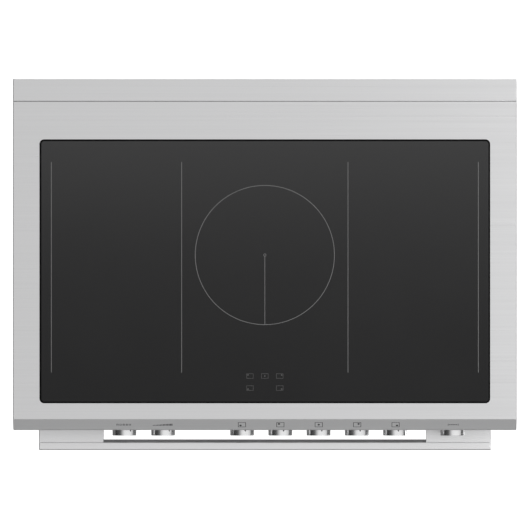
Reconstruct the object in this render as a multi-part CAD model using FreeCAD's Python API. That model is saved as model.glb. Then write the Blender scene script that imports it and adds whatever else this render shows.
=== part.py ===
"""A 36-inch free-standing induction range: glass cooktop, front control panel with eight knobs,
drop-down oven door, storage drawer and levelling feet.

Row frame, in millimetres: +X to the right seen from the front, -Y towards the user, +Z up.
The origin is on the floor, under the middle of the overall box.
Depths are counted forwards from the back edge of the top, and place_y turns one into a Y.
"""

import FreeCAD
import Part
import math
import os

# ---------------------------------------------------------------- driving dimensions
WIDTH = 912.0                 # overall width of the worktop
TOP_Z = 914.0                 # height of the steel worktop
TOTAL_DEPTH = 675.3           # back edge to the front of the door handle
SKIN = 1.5                    # worktop and panel sheet
SHEET = 1.2                   # body and door sheet

TRIM_DEPTH = 40.0             # rear trim
TRIM_RISE = 3.0               # how far the trim stands above the worktop
EDGE_BREAK = 1.0              # broken end edges of worktop, panel, trim and handle
SEAM = 0.5                    # open joint between trim and worktop
RIM_HEIGHT = 30.0             # turned-down rim of worktop and trim
TOP_FRONT = 616.2             # depth of the worktop's front edge

GLASS_WIDTH, GLASS_LENGTH = 812.0, 473.8
GLASS_THICK = 4.0
GLASS_PROUD = 0.5             # glass above the steel
GLASS_RADIUS = 6.5
SEAL_WIDTH = 2.1
GLASS_BACK = 111.3            # depth of the glass's rear edge

NOSE_DEPTH = 636.0            # most forward line of the control panel
KNOB_FACE = 618.0             # depth of the face that carries the knobs
PANEL_BOTTOM = 788.0
BODY_HALF = 452.5             # half width of the cabinet
BODY_FRONT = 568.0            # depth of the front frame's face
BODY_BOTTOM = 92.0

DOOR_HALF = 449.5
DOOR_BACK, DOOR_FRONT = 571.0, 618.0
DOOR_BOTTOM, DOOR_TOP = 262.0, 784.0
HINGE_DEPTH, HINGE_Z = 604.0, 272.0
HINGE_X = 420.5
HINGE_PIN_R = 3.5
DRAWER_BOTTOM, DRAWER_TOP = 114.0, 252.0

CAVITY_HALF, CAVITY_BACK = 360.0, 120.0
CAVITY_BOTTOM, CAVITY_TOP = 300.0, 700.0

KNOB_Z = 829.0
KNOB_R_BASE, KNOB_R_FRONT = 22.0, 21.5
KNOB_BACK, KNOB_FRONT = 619.0, 647.0
KNOB_X = {
    "knob_oven_function": -255.7,
    "knob_oven_temperature": -185.2,
    "knob_zone_left_front": -41.5,
    "knob_zone_left_rear": 28.1,
    "knob_zone_centre": 97.7,
    "knob_zone_right_rear": 167.3,
    "knob_zone_right_front": 236.9,
    "knob_timer": 341.3,
}

HANDLE_HALF = 413.2
HANDLE_BACK, HANDLE_FRONT = 656.2, TOTAL_DEPTH
HANDLE_BOTTOM, HANDLE_TOP = 722.0, 752.0
BRACKET_WIDTH = 118.0

LEG_X = 395.0
LEG_FRONT_DEPTH, LEG_REAR_DEPTH = 532.0, 50.0

V = FreeCAD.Vector
BACK_Y = TOTAL_DEPTH / 2
CENTRE_GLASS_DEPTH = GLASS_BACK + GLASS_LENGTH / 2


# ---------------------------------------------------------------- shape helpers
def place_y(depth):
    """The Y of a depth counted forwards from the back edge."""
    return BACK_Y - depth


def block(x0, x1, d0, d1, z0, z1):
    """A box between two X values, two depths and two heights."""
    return Part.makeBox(x1 - x0, d1 - d0, z1 - z0, V(x0, place_y(d1), z0))


def shell(x0, x1, d0, d1, z0, z1, wall, open_sides):
    """A box of sheet, open on the named sides: any of back, front, top, bottom."""
    reach = wall * 4
    inner = block(
        x0 + wall, x1 - wall,
        d0 + (-reach if "back" in open_sides else wall),
        d1 - (-reach if "front" in open_sides else wall),
        z0 + (-reach if "bottom" in open_sides else wall),
        z1 - (-reach if "top" in open_sides else wall),
    )
    return block(x0, x1, d0, d1, z0, z1).cut(inner)


def rod(x0, d0, z0, x1, d1, z1, radius):
    """A round bar between two points given as X, depth and Z."""
    start, end = V(x0, place_y(d0), z0), V(x1, place_y(d1), z1)
    return Part.makeCylinder(radius, (end - start).Length, start, end - start)


def cone_forward(x, d0, d1, z, r0, r1):
    """A round body along the depth, with its radius at either end."""
    return Part.makeCone(r0, r1, d1 - d0, V(x, place_y(d0), z), V(0, -1, 0))


def prism_x(outline, x0, x1):
    """A (depth, z) outline extruded from x0 to x1."""
    points = [V(x0, place_y(d), z) for d, z in outline]
    return Part.Face(Part.makePolygon(points + points[:1])).extrude(V(x1 - x0, 0, 0))


def straight_edges(shape, direction):
    """The straight edges of a shape that run along a direction."""
    found = []
    for edge in shape.Edges:
        if isinstance(edge.Curve, Part.Line):
            along = edge.Vertexes[-1].Point - edge.Vertexes[0].Point
            if along.Length > 1e-6 and abs(along.normalize().dot(direction)) > 0.9999:
                found.append(edge)
    return found


def rounded(shape, radius, direction):
    """Rounds every straight edge along a direction."""
    return shape.makeFillet(radius, straight_edges(shape, direction))


def rounded_block(x0, x1, d0, d1, z0, z1, radius, direction):
    return rounded(block(x0, x1, d0, d1, z0, z1), radius, direction)


def round_lines(shape, lines, radius):
    """Rounds the edges along X that pass through the given (depth, z) lines."""
    chosen = []
    for edge in straight_edges(shape, V(1, 0, 0)):
        at = edge.Vertexes[0].Point
        if any(abs(at.y - place_y(d)) < 0.05 and abs(at.z - z) < 0.05 for d, z in lines):
            chosen.append(edge)
    return shape.makeFillet(radius, chosen)


def break_ends(shape, half_width, direction, z_min):
    """Chamfers the upper end edges of a part, those that run along a direction at either end."""
    chosen = []
    for edge in straight_edges(shape, direction):
        at_end = abs(abs(edge.Vertexes[0].Point.x) - half_width) < 0.01
        if at_end and edge.BoundBox.ZMin > z_min:
            chosen.append(edge)
    return shape.makeChamfer(EDGE_BREAK, chosen)


def mirrored(shape):
    return shape.mirror(V(0, 0, 0), V(1, 0, 0))


def both_sides(shape):
    return [shape, mirrored(shape)]


def fused(shapes):
    return shapes[0].multiFuse(shapes[1:]).removeSplitter()


def save(name, shapes):
    """Writes one node: a solid, or several separate solids."""
    solids = shapes if isinstance(shapes, list) else [shapes]
    for solid in solids:
        assert solid.isValid() and solid.Volume > 0, name
    out = Part.makeCompound(solids) if len(solids) > 1 else solids[0]
    out.exportStep(f"parts/{name}.step")


# ---------------------------------------------------------------- cooktop
SEAL_HALF = GLASS_WIDTH / 2 + SEAL_WIDTH
SEAL_BACK, SEAL_FRONT = GLASS_BACK - SEAL_WIDTH, GLASS_BACK + GLASS_LENGTH + SEAL_WIDTH
GLASS_TOP = TOP_Z + GLASS_PROUD
GLASS_BOTTOM = GLASS_TOP - GLASS_THICK
LEDGE_Z = GLASS_BOTTOM - 1.0
LEDGE_WIDTH = 13.0


def glass_outline(grow, z0, z1):
    """A plate with the glass's outline, grown on every side."""
    half = GLASS_WIDTH / 2 + grow
    return rounded_block(
        -half, half, GLASS_BACK - grow, GLASS_BACK + GLASS_LENGTH + grow, z0, z1,
        max(GLASS_RADIUS + grow, 3.0), V(0, 0, 1),
    )


def make_worktop():
    half = WIDTH / 2
    back = TRIM_DEPTH + SEAM
    pan = shell(-half, half, back, TOP_FRONT, TOP_Z - RIM_HEIGHT, TOP_Z, SKIN, ["bottom"])
    tub = glass_outline(SEAL_WIDTH + SKIN, LEDGE_Z - SKIN, TOP_Z - SKIN / 2)
    pocket = glass_outline(SEAL_WIDTH, LEDGE_Z, TOP_Z + 1)
    opening = rounded_block(
        -SEAL_HALF + LEDGE_WIDTH, SEAL_HALF - LEDGE_WIDTH,
        SEAL_BACK + LEDGE_WIDTH, SEAL_FRONT - LEDGE_WIDTH,
        LEDGE_Z - SKIN - 1, TOP_Z, GLASS_RADIUS, V(0, 0, 1),
    )
    pan = break_ends(pan, half, V(0, 1, 0), TOP_Z - 0.01)
    pan = round_lines(pan, [(back, TOP_Z)], 0.6)
    return fused([pan, tub]).cut(pocket).cut(opening)


def make_glass():
    glass = glass_outline(0, GLASS_BOTTOM, GLASS_TOP)
    rim = [
        e for e in glass.Edges
        if all(v.Point.z > GLASS_TOP - 0.01 for v in e.Vertexes)
    ]
    return glass.makeChamfer(1.3, rim)


def make_seal():
    ring = glass_outline(SEAL_WIDTH, LEDGE_Z, TOP_Z - 0.3)
    ring = ring.cut(glass_outline(0, GLASS_BOTTOM, TOP_Z + 1))
    return ring.cut(glass_outline(-LEDGE_WIDTH + 3, LEDGE_Z - 1, TOP_Z))


def make_rear_trim():
    half = WIDTH / 2
    top = TOP_Z + TRIM_RISE
    trim = shell(-half, half, 0, TRIM_DEPTH, TOP_Z - RIM_HEIGHT, top, SKIN, ["bottom"])
    slot_pitch, slot_length, slot_height = 62.0, 46.0, 5.0
    for row_z in (TOP_Z - 20, TOP_Z - 9):
        for n in range(-5, 6):
            x = n * slot_pitch
            slot = rounded_block(
                x - slot_length / 2, x + slot_length / 2, -1, SKIN + 1,
                row_z - slot_height / 2, row_z + slot_height / 2, 2.4, V(0, 1, 0),
            )
            trim = trim.cut(slot)
    trim = break_ends(trim, half, V(0, 1, 0), top - 0.01)
    return round_lines(trim, [(0, top), (TRIM_DEPTH, top)], 0.8)


COIL_TRAY_Z = 874.0
SIDE_ZONE_X = 268.6
SIDE_COIL_OFFSET = 96.0
SIDE_COIL_R, CENTRE_COIL_R = 91.0, 118.0
CENTRE_ZONE_DEPTH = 318.7


def coil_places():
    """X, depth and outer radius of each induction coil: four side coils, then the centre one."""
    side = [
        (sx * SIDE_ZONE_X, CENTRE_GLASS_DEPTH + sd * SIDE_COIL_OFFSET, SIDE_COIL_R)
        for sx in (-1, 1) for sd in (-1, 1)
    ]
    return side + [(0.0, CENTRE_ZONE_DEPTH, CENTRE_COIL_R)]


def coil_winding(x, depth, radius):
    """A flat spiral coil, drawn as concentric turns on a thin backing."""
    base_z, top_z, hole = COIL_TRAY_Z + 14, COIL_TRAY_Z + 20, 26.0
    axis = V(0, 0, 1)
    centre = V(x, place_y(depth), base_z)
    coil = Part.makeCylinder(radius, top_z - base_z, centre, axis)
    coil = coil.cut(Part.makeCylinder(hole, top_z - base_z, centre, axis))
    groove_pitch, groove_width, groove_depth = 8.0, 1.6, 2.0
    r = hole + groove_pitch
    while r < radius - groove_width:
        floor = centre + V(0, 0, top_z - base_z - groove_depth)
        ring = Part.makeCylinder(r + groove_width / 2, groove_depth, floor, axis)
        ring = ring.cut(Part.makeCylinder(r - groove_width / 2, groove_depth, floor, axis))
        coil = coil.cut(ring)
        r += groove_pitch
    return coil


def coil_carrier(x, depth, radius):
    """A moulded disc with eight ferrite bars under the winding and a sensor boss in the middle."""
    axis = V(0, 0, 1)
    centre = V(x, place_y(depth), COIL_TRAY_Z + SKIN)
    disc = Part.makeCylinder(radius + 3, 4, centre, axis)
    boss = Part.makeCylinder(12, 22, centre, axis)
    hub = Part.makeCylinder(24, 12.4, centre, axis)
    bars = []
    for n in range(8):
        bar = Part.makeBox(radius - 30, 12, 8.5, centre + V(27, -6, 3.5))
        bar.rotate(centre, axis, n * 45)
        bars.append(bar)
    return fused([disc, boss, hub] + bars)


def make_coil_tray():
    tray = shell(-425, 425, 100, 604, COIL_TRAY_Z, LEDGE_Z - SKIN - 0.2, SKIN, ["top"])
    for x, depth, _ in coil_places():
        hole = Part.makeCylinder(9, 10, V(x, place_y(depth), COIL_TRAY_Z - 5), V(0, 0, 1))
        tray = tray.cut(hole)
    return tray


# ---------------------------------------------------------------- power electronics
TRAY_Z = 752.0
BOARD_Z = TRAY_Z + 12
BOARD_X, BOARD_WIDTH, BOARD_LENGTH, BOARD_BACK = 255.0, 250.0, 300.0, 160.0


def make_electronics_tray():
    tray = shell(-430, 430, 40, 556, TRAY_Z, TRAY_Z + 22, SHEET, ["top"])
    for n in range(-8, 9):
        slot = rounded_block(
            n * 24 - 7, n * 24 + 7, 60, 120, TRAY_Z - 1, TRAY_Z + 3, 6.5, V(0, 0, 1)
        )
        tray = tray.cut(slot)
    return tray


def inverter_board():
    """A circuit board on four posts, with its capacitors and a choke."""
    x0, x1 = BOARD_X - BOARD_WIDTH / 2, BOARD_X + BOARD_WIDTH / 2
    d0, d1 = BOARD_BACK, BOARD_BACK + BOARD_LENGTH
    pieces = [block(x0, x1, d0, d1, BOARD_Z, BOARD_Z + 1.6)]
    for x in (x0 + 8, x1 - 8):
        for d in (d0 + 8, d1 - 8):
            pieces.append(rod(x, d, TRAY_Z + SHEET, x, d, BOARD_Z + 0.5, 3.5))
    for n in range(4):
        d = d0 + 40 + n * 34
        pieces.append(rod(x1 - 32, d, BOARD_Z + 1, x1 - 32, d, BOARD_Z + 32, 12))
    pieces.append(rod(x1 - 50, d1 - 60, BOARD_Z + 1, x1 - 50, d1 - 60, BOARD_Z + 24, 26))
    return fused(pieces)


def heat_sink():
    """A finned aluminium block along the board's inner edge."""
    x0 = BOARD_X - BOARD_WIDTH / 2 + 14
    d0, d1 = BOARD_BACK + 30, BOARD_BACK + BOARD_LENGTH - 40
    base_z = BOARD_Z + 1.6
    pieces = [block(x0, x0 + 92, d0, d1, base_z, base_z + 8)]
    for n in range(12):
        x = x0 + n * 8
        pieces.append(block(x, x + 2, d0, d1, base_z + 7, base_z + 46))
    return fused(pieces)


FAN_DEPTH, FAN_Z, FAN_R = 500.0, 804.0, 41.0


def make_cooling_fan_housing():
    half, thick = 46.0, 26.0
    frame = rounded_block(
        -half, half, FAN_DEPTH - thick / 2, FAN_DEPTH + thick / 2, FAN_Z - half, FAN_Z + half,
        5, V(0, 1, 0),
    )
    bore = rod(0, FAN_DEPTH - 20, FAN_Z, 0, FAN_DEPTH + 20, FAN_Z, FAN_R + 1.5)
    frame = frame.cut(bore)
    back = FAN_DEPTH - thick / 2
    hub = rod(0, back, FAN_Z, 0, back + 4, FAN_Z, 17)
    pieces = [frame, hub]
    for n in range(4):
        arm = block(10, FAN_R + 4, back, back + 3, FAN_Z - 2, FAN_Z + 2)
        arm.rotate(V(0, 0, FAN_Z), V(0, 1, 0), 45 + n * 90)
        pieces.append(arm)
    foot = block(-30, 30, FAN_DEPTH - 10, FAN_DEPTH + 10, TRAY_Z + SHEET, FAN_Z - half + 1)
    return fused(pieces + [foot])


def bladed_rotor(depth0, depth1, z, hub_r, tip_r, blades, pitch_deg, blade_width, hub_depth):
    """A hub with flat blades set at a pitch, about an axis along the depth."""
    middle = (depth0 + depth1) / 2
    hub = rod(0, middle - hub_depth / 2, z, 0, middle + hub_depth / 2, z, hub_r)
    pieces = [hub]
    for n in range(blades):
        blade = block(
            hub_r - 2, tip_r, middle - blade_width / 2, middle + blade_width / 2, z - 0.7, z + 0.7
        )
        blade.rotate(V(0, place_y(middle), z), V(1, 0, 0), pitch_deg)
        blade.rotate(V(0, 0, z), V(0, 1, 0), n * 360.0 / blades)
        pieces.append(blade)
    keep = rod(0, depth0, z, 0, depth1, z, tip_r)
    return fused(pieces).common(keep)


# ---------------------------------------------------------------- control panel
BEVEL = NOSE_DEPTH - TOP_FRONT
NOSE_FLAT = 5.0
NOSE_RADIUS = 4.0
NOSE_TOP_Z = TOP_Z - BEVEL
UNDERCUT = NOSE_DEPTH - KNOB_FACE
KNOB_FACE_TOP = NOSE_TOP_Z - NOSE_FLAT - UNDERCUT
PANEL_BACK = 568.6
PANEL_GAP = 0.2               # open joint between the worktop and the panel
PANEL_CREST = TOP_FRONT + PANEL_GAP
DISPLAY_X, DISPLAY_WIDTH, DISPLAY_HEIGHT = -113.0, 78.0, 26.0


def panel_section(inset, back, shelf_z):
    """The panel's (depth, z) section, drawn in by a sheet thickness, round to its open back."""
    slant = inset * math.tan(math.radians(22.5))
    crest = inset * math.sqrt(2)
    return [
        (PANEL_CREST + inset, TOP_Z - PANEL_GAP - inset - crest),
        (NOSE_DEPTH - inset, NOSE_TOP_Z - slant),
        (NOSE_DEPTH - inset, NOSE_TOP_Z - NOSE_FLAT + slant),
        (KNOB_FACE - inset, KNOB_FACE_TOP + slant),
        (KNOB_FACE - inset, PANEL_BOTTOM + inset),
        (back, PANEL_BOTTOM + inset),
        (back, shelf_z),
        (PANEL_CREST + inset, shelf_z),
    ]


def make_control_panel():
    half = WIDTH / 2
    rim_z = TOP_Z - RIM_HEIGHT
    solid = prism_x(panel_section(0, PANEL_BACK, rim_z - 0.8), -half, half)
    nose = [(NOSE_DEPTH, NOSE_TOP_Z), (NOSE_DEPTH, NOSE_TOP_Z - NOSE_FLAT)]
    solid = round_lines(solid, nose, NOSE_RADIUS)
    solid = break_ends(solid, half, V(0, -1, -1).normalize(), NOSE_TOP_Z - 2)
    hollow = prism_x(panel_section(SKIN, PANEL_BACK - 5, rim_z + 5), -half + SKIN, half - SKIN)
    panel = solid.cut(hollow)
    for x in KNOB_X.values():
        panel = panel.cut(rod(x, KNOB_FACE - 5, KNOB_Z, x, KNOB_FACE + 5, KNOB_Z, 6.0))
    window = rounded_block(
        DISPLAY_X - DISPLAY_WIDTH / 2, DISPLAY_X + DISPLAY_WIDTH / 2,
        KNOB_FACE - 5, KNOB_FACE + 5,
        KNOB_Z - DISPLAY_HEIGHT / 2, KNOB_Z + DISPLAY_HEIGHT / 2, 3, V(0, 1, 0),
    )
    return panel.cut(window)


def make_display_window():
    """A dark lens that fills the panel's window, with a flange behind the sheet."""
    half_w, half_h = DISPLAY_WIDTH / 2 - 0.1, DISPLAY_HEIGHT / 2 - 0.1
    lens = rounded_block(
        DISPLAY_X - half_w, DISPLAY_X + half_w, KNOB_FACE - SKIN - 1, KNOB_FACE - 0.2,
        KNOB_Z - half_h, KNOB_Z + half_h, 2.9, V(0, 1, 0),
    )
    flange = block(
        DISPLAY_X - half_w - 4, DISPLAY_X + half_w + 4, KNOB_FACE - SKIN - 10, KNOB_FACE - SKIN - 0.05,
        KNOB_Z - half_h - 4, KNOB_Z + half_h + 4,
    )
    return fused([lens, flange])


def make_knob(x):
    """A drafted knob with a dished face and a moulded stem through the panel."""
    body = cone_forward(x, KNOB_BACK, KNOB_FRONT, KNOB_Z, KNOB_R_BASE, KNOB_R_FRONT)
    rim = [e for e in body.Edges if abs(e.BoundBox.YMax - place_y(KNOB_FRONT)) < 0.01]
    body = body.makeFillet(0.6, rim)
    dish_r, dish_depth = 17.0, 1.2
    ball_r = (dish_r ** 2 + dish_depth ** 2) / (2 * dish_depth)
    ball = Part.makeSphere(ball_r, V(x, place_y(KNOB_FRONT - dish_depth + ball_r), KNOB_Z))
    body = body.cut(ball)
    undercut = rod(x, KNOB_BACK - 1, KNOB_Z, x, KNOB_BACK + 1.5, KNOB_Z, KNOB_R_BASE + 2).cut(
        rod(x, KNOB_BACK - 1, KNOB_Z, x, KNOB_BACK + 1.5, KNOB_Z, KNOB_R_BASE - 2.5)
    )
    body = body.cut(undercut)
    stem = rod(x, KNOB_FACE - 17, KNOB_Z, x, KNOB_BACK + 1, KNOB_Z, 5.4)
    return fused([body, stem])


def rotary_encoder(x):
    """The switch body behind one knob, on its own bracket foot."""
    front = KNOB_FACE - 17.3
    case = rounded_block(x - 14, x + 14, front - 14, front, KNOB_Z - 15, KNOB_Z + 15, 2, V(0, 1, 0))
    terminals = [
        block(x + dx - 1.5, x + dx + 1.5, front - 21, front - 13, KNOB_Z - 12, KNOB_Z - 11)
        for dx in (-8, 0, 8)
    ]
    foot = block(x - 10, x + 10, front - 6, front - 4, PANEL_BOTTOM + SKIN, KNOB_Z - 14)
    return fused([case, foot] + terminals)


# ---------------------------------------------------------------- cabinet
def screw_places():
    """X and Z of the rear panel's screws."""
    heights = [140, 320, 500, 680, 860]
    return [(sx * 444.0, z) for sx in (-1, 1) for z in heights]


REAR_FACE = 4.5               # depth of the side panels' rear flange
SCREW_HOLE_R, SCREW_R = 2.15, 2.0


def rear_screw_holes():
    return [rod(x, 0, z, x, 20, z, SCREW_HOLE_R) for x, z in screw_places()]


def make_side_panel():
    panel = shell(
        BODY_HALF - 16, BODY_HALF, REAR_FACE, BODY_FRONT - 2, BODY_BOTTOM, TOP_Z - RIM_HEIGHT - 1,
        SHEET, [],
    )
    open_in = block(
        BODY_HALF - 17, BODY_HALF - 14, REAR_FACE + 14, BODY_FRONT - 16,
        BODY_BOTTOM + 14, TOP_Z - RIM_HEIGHT - 15,
    )
    panel = panel.cut(open_in)
    for hole in rear_screw_holes():
        panel = panel.cut(hole)
    return panel


TERMINAL_X, TERMINAL_Z = 300.0, 210.0
CABLE_HOLE_R = 14.3


def make_rear_panel():
    panel = block(-BODY_HALF + 1, BODY_HALF - 1, 3.0, REAR_FACE, BODY_BOTTOM + 8, TOP_Z - RIM_HEIGHT - 1)
    for hole in rear_screw_holes():
        panel = panel.cut(hole)
    for column in (-1, 1):
        for n in range(8):
            z = 790 + n * 10
            slot = rounded_block(
                column * 210 - 90, column * 210 + 90, 2, 6, z - 2, z + 2, 1.9, V(0, 1, 0)
            )
            panel = panel.cut(slot)
    recess = block(TERMINAL_X - 70, TERMINAL_X + 70, 0, 10, TERMINAL_Z - 50, TERMINAL_Z + 50)
    panel = panel.cut(recess)
    frame = block(-340, 340, 1.6, 3.2, 330, 700).cut(block(-328, 328, 1, 3.0, 342, 688))
    return fused([panel, frame])


def make_terminal_box():
    """The mains terminal box set into the rear panel, with a cable hole in its cover."""
    x0, x1 = TERMINAL_X - 69.8, TERMINAL_X + 69.8
    z0, z1 = TERMINAL_Z - 49.8, TERMINAL_Z + 49.8
    box = shell(x0, x1, 3.0, 60, z0, z1, SHEET, [])
    hole = rod(TERMINAL_X - 35, -1, TERMINAL_Z, TERMINAL_X - 35, 10, TERMINAL_Z, CABLE_HOLE_R)
    return box.cut(hole)


def make_base_frame():
    base = shell(-434, 434, 6, BODY_FRONT - 4, BODY_BOTTOM, BODY_BOTTOM + 16, SKIN, ["bottom"])
    for x in (-LEG_X, LEG_X):
        for d in (LEG_REAR_DEPTH, LEG_FRONT_DEPTH):
            base = base.cut(rod(x, d, 90, x, d, 120, 11.0))
    return base


def make_front_frame():
    """The enamelled face frame around the oven mouth and the drawer opening."""
    face = block(
        -BODY_HALF, BODY_HALF, BODY_FRONT - 2, BODY_FRONT, BODY_BOTTOM, PANEL_BOTTOM - 2
    )
    mouth = rounded_block(
        -CAVITY_HALF, CAVITY_HALF, BODY_FRONT - 5, BODY_FRONT + 5, CAVITY_BOTTOM, CAVITY_TOP,
        14, V(0, 1, 0),
    )
    drawer = block(-430, 430, BODY_FRONT - 5, BODY_FRONT + 5, BODY_BOTTOM + 22, DRAWER_TOP - 2)
    face = face.cut(mouth).cut(drawer)
    for side in (-1, 1):
        x = side * HINGE_X
        face = face.cut(block(x - 4, x + 4, BODY_FRONT - 5, BODY_FRONT + 5, HINGE_Z - 10, HINGE_Z + 10))
    return face


SLEEVE_TOP = BODY_BOTTOM + 14.3
SLEEVE_BOTTOM = 28.5
FOOT_STEM_R = 12.5


def leg_sleeve(x, depth):
    tube = rod(x, depth, SLEEVE_BOTTOM, x, depth, SLEEVE_TOP, 25)
    bore = rod(x, depth, SLEEVE_BOTTOM - 1, x, depth, SLEEVE_TOP + 1, FOOT_STEM_R + 0.5)
    tube = tube.cut(bore)
    lower = [e for e in tube.Edges if abs(e.BoundBox.ZMax - SLEEVE_BOTTOM) < 0.01]
    return tube.makeChamfer(1.5, [e for e in lower if e.BoundBox.XLength > 40])


def grooved_stem(x, depth, z0, z1):
    """A stem with ring grooves at the thread's pitch, turned from one outline."""
    pitch, root = 4.0, FOOT_STEM_R - 1.1
    outline = [V(0, 0, z0), V(FOOT_STEM_R, 0, z0)]
    z = z0 + 6
    while z + pitch < z1:
        outline += [V(FOOT_STEM_R, 0, z), V(root, 0, z + pitch / 2), V(FOOT_STEM_R, 0, z + pitch * 0.95)]
        z += pitch
    outline += [V(FOOT_STEM_R, 0, z1), V(0, 0, z1)]
    stem = Part.Face(Part.makePolygon(outline + outline[:1])).revolve(V(0, 0, 0), V(0, 0, 1), 360)
    stem.translate(V(x, place_y(depth), 0))
    return stem


def levelling_foot(x, depth):
    """A foot with a round pad, a hexagon for the spanner and a stem inside the sleeve."""
    pad = rod(x, depth, 0, x, depth, 9, 23)
    pad_rim = [e for e in pad.Edges if e.BoundBox.ZLength < 0.01]
    pad = pad.makeChamfer(1.5, pad_rim)
    neck = rod(x, depth, 8, x, depth, 14, 15)
    hexagon = [
        V(x + 19 * math.cos(math.radians(60 * n)), place_y(depth) + 19 * math.sin(math.radians(60 * n)), 13)
        for n in range(6)
    ]
    nut = Part.Face(Part.makePolygon(hexagon + hexagon[:1])).extrude(V(0, 0, 14))
    return fused([pad, neck, nut, grooved_stem(x, depth, 26, SLEEVE_TOP - 2)])


def make_kick_plate():
    """A recessed plinth behind the front legs, folded at the top to meet the base."""
    plate = block(-430, 430, 470, 471.5, 20, BODY_BOTTOM + 12)
    fold = block(-430, 430, 455, 471, BODY_BOTTOM + 11.9, BODY_BOTTOM + 13.2)
    return fused([plate, fold])


# ---------------------------------------------------------------- oven
FAN_OVEN_Z = 500.0


def make_oven_liner():
    x, z0, z1 = CAVITY_HALF, CAVITY_BOTTOM, CAVITY_TOP
    outer = rounded_block(
        -x - SKIN, x + SKIN, CAVITY_BACK - SKIN, BODY_FRONT - 2, z0 - SKIN, z1 + SKIN,
        14 + SKIN, V(0, 1, 0),
    )
    inner = rounded_block(-x, x, CAVITY_BACK, BODY_FRONT + 1, z0, z1, 14, V(0, 1, 0))
    liner = outer.cut(inner)
    liner = liner.cut(rod(0, CAVITY_BACK - 5, FAN_OVEN_Z, 0, CAVITY_BACK + 5, FAN_OVEN_Z, 7))
    return liner


def make_oven_insulation():
    outer = block(-404, 404, 76, BODY_FRONT - 8, 256, 744)
    inner = block(
        -CAVITY_HALF - SKIN - 0.3, CAVITY_HALF + SKIN + 0.3, CAVITY_BACK - SKIN - 0.3, BODY_FRONT,
        CAVITY_BOTTOM - SKIN - 0.3, CAVITY_TOP + SKIN + 0.3,
    )
    blanket = outer.cut(inner)
    return blanket.cut(rod(0, 70, FAN_OVEN_Z, 0, 125, FAN_OVEN_Z, 42))


RAIL_R, RACK_SIDE_R, RACK_WIRE_R = 2.5, 3.0, 1.6
RAIL_HEIGHTS = [340, 405, 470, 535, 600]


def rack_ladder():
    """A side ladder: three posts on the wall and five pairs of rails that hold the racks."""
    post_x, rail_x = CAVITY_HALF - 4.0, CAVITY_HALF - 12.0
    pieces = []
    for d in (160, 345, 530):
        pieces.append(rod(post_x, d, 325, post_x, d, 625, RAIL_R))
    for z in RAIL_HEIGHTS:
        pieces.append(rod(rail_x, 140, z, rail_x, 545, z, RAIL_R))
        for d in (160, 345, 530):
            pieces.append(rod(rail_x, d, z, post_x, d, z, RAIL_R - 0.2))
    return fused(pieces)


def oven_rack(rail_z):
    """A wire shelf that lies on a pair of rails, with a raised back stop."""
    side_x = CAVITY_HALF - 14.5
    z = rail_z + RAIL_R + RACK_SIDE_R + 0.2
    back, front = 162.0, 540.0
    pieces = [
        rod(-side_x, back, z, -side_x, front, z, RACK_SIDE_R),
        rod(side_x, back, z, side_x, front, z, RACK_SIDE_R),
    ]
    for d in (back, 345.0, front):
        pieces.append(rod(-side_x, d, z, side_x, d, z, RACK_SIDE_R))
    for end in ((-side_x, back), (side_x, back), (-side_x, front), (side_x, front)):
        pieces.append(Part.makeSphere(RACK_SIDE_R, V(end[0], place_y(end[1]), z)))
    wires = 22
    for n in range(1, wires):
        x = -side_x + 2 * side_x * n / wires
        pieces.append(rod(x, back, z + 2.6, x, front, z + 2.6, RACK_WIRE_R))
    return fused(pieces)


def bent_tube(points, radius, bend):
    """A round tube along straight runs joined by tangent arcs."""
    edges, start = [], points[0]
    for before, corner, after in zip(points, points[1:], points[2:]):
        into = (corner - before).normalize()
        out = (after - corner).normalize()
        turn = into.getAngle(out)
        trim = bend * math.tan(turn / 2)
        first, last = corner - into * trim, corner + out * trim
        towards = (out - into).normalize()
        middle = corner + towards * (bend / math.cos(turn / 2) - bend)
        edges.append(Part.LineSegment(start, first).toShape())
        edges.append(Part.Arc(first, middle, last).toShape())
        start = last
    edges.append(Part.LineSegment(start, points[-1]).toShape())
    path = Part.Wire(edges)
    ring = Part.Wire([Part.makeCircle(radius, points[0], points[1] - points[0])])
    return path.makePipeShell([ring], True, True)


def make_grill_element():
    """A serpentine heating element under the oven ceiling, its two ends through the rear wall."""
    z, back, near, far = CAVITY_TOP - 22, CAVITY_BACK + 1, 190.0, 500.0
    columns = [-270, -210, -150, -90, -30, 30, 90, 150, 210, 270]
    points = [V(columns[0], place_y(back), z)]
    for n, x in enumerate(columns):
        ends = (near, far) if n % 2 == 0 else (far, near)
        if n == 0:
            points.append(V(x, place_y(far), z))
        elif n == len(columns) - 1:
            points.append(V(x, place_y(far), z))
            points.append(V(x, place_y(back), z))
        else:
            points += [V(x, place_y(ends[0]), z), V(x, place_y(ends[1]), z)]
    return bent_tube(points, 3.25, 14.0)


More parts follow.
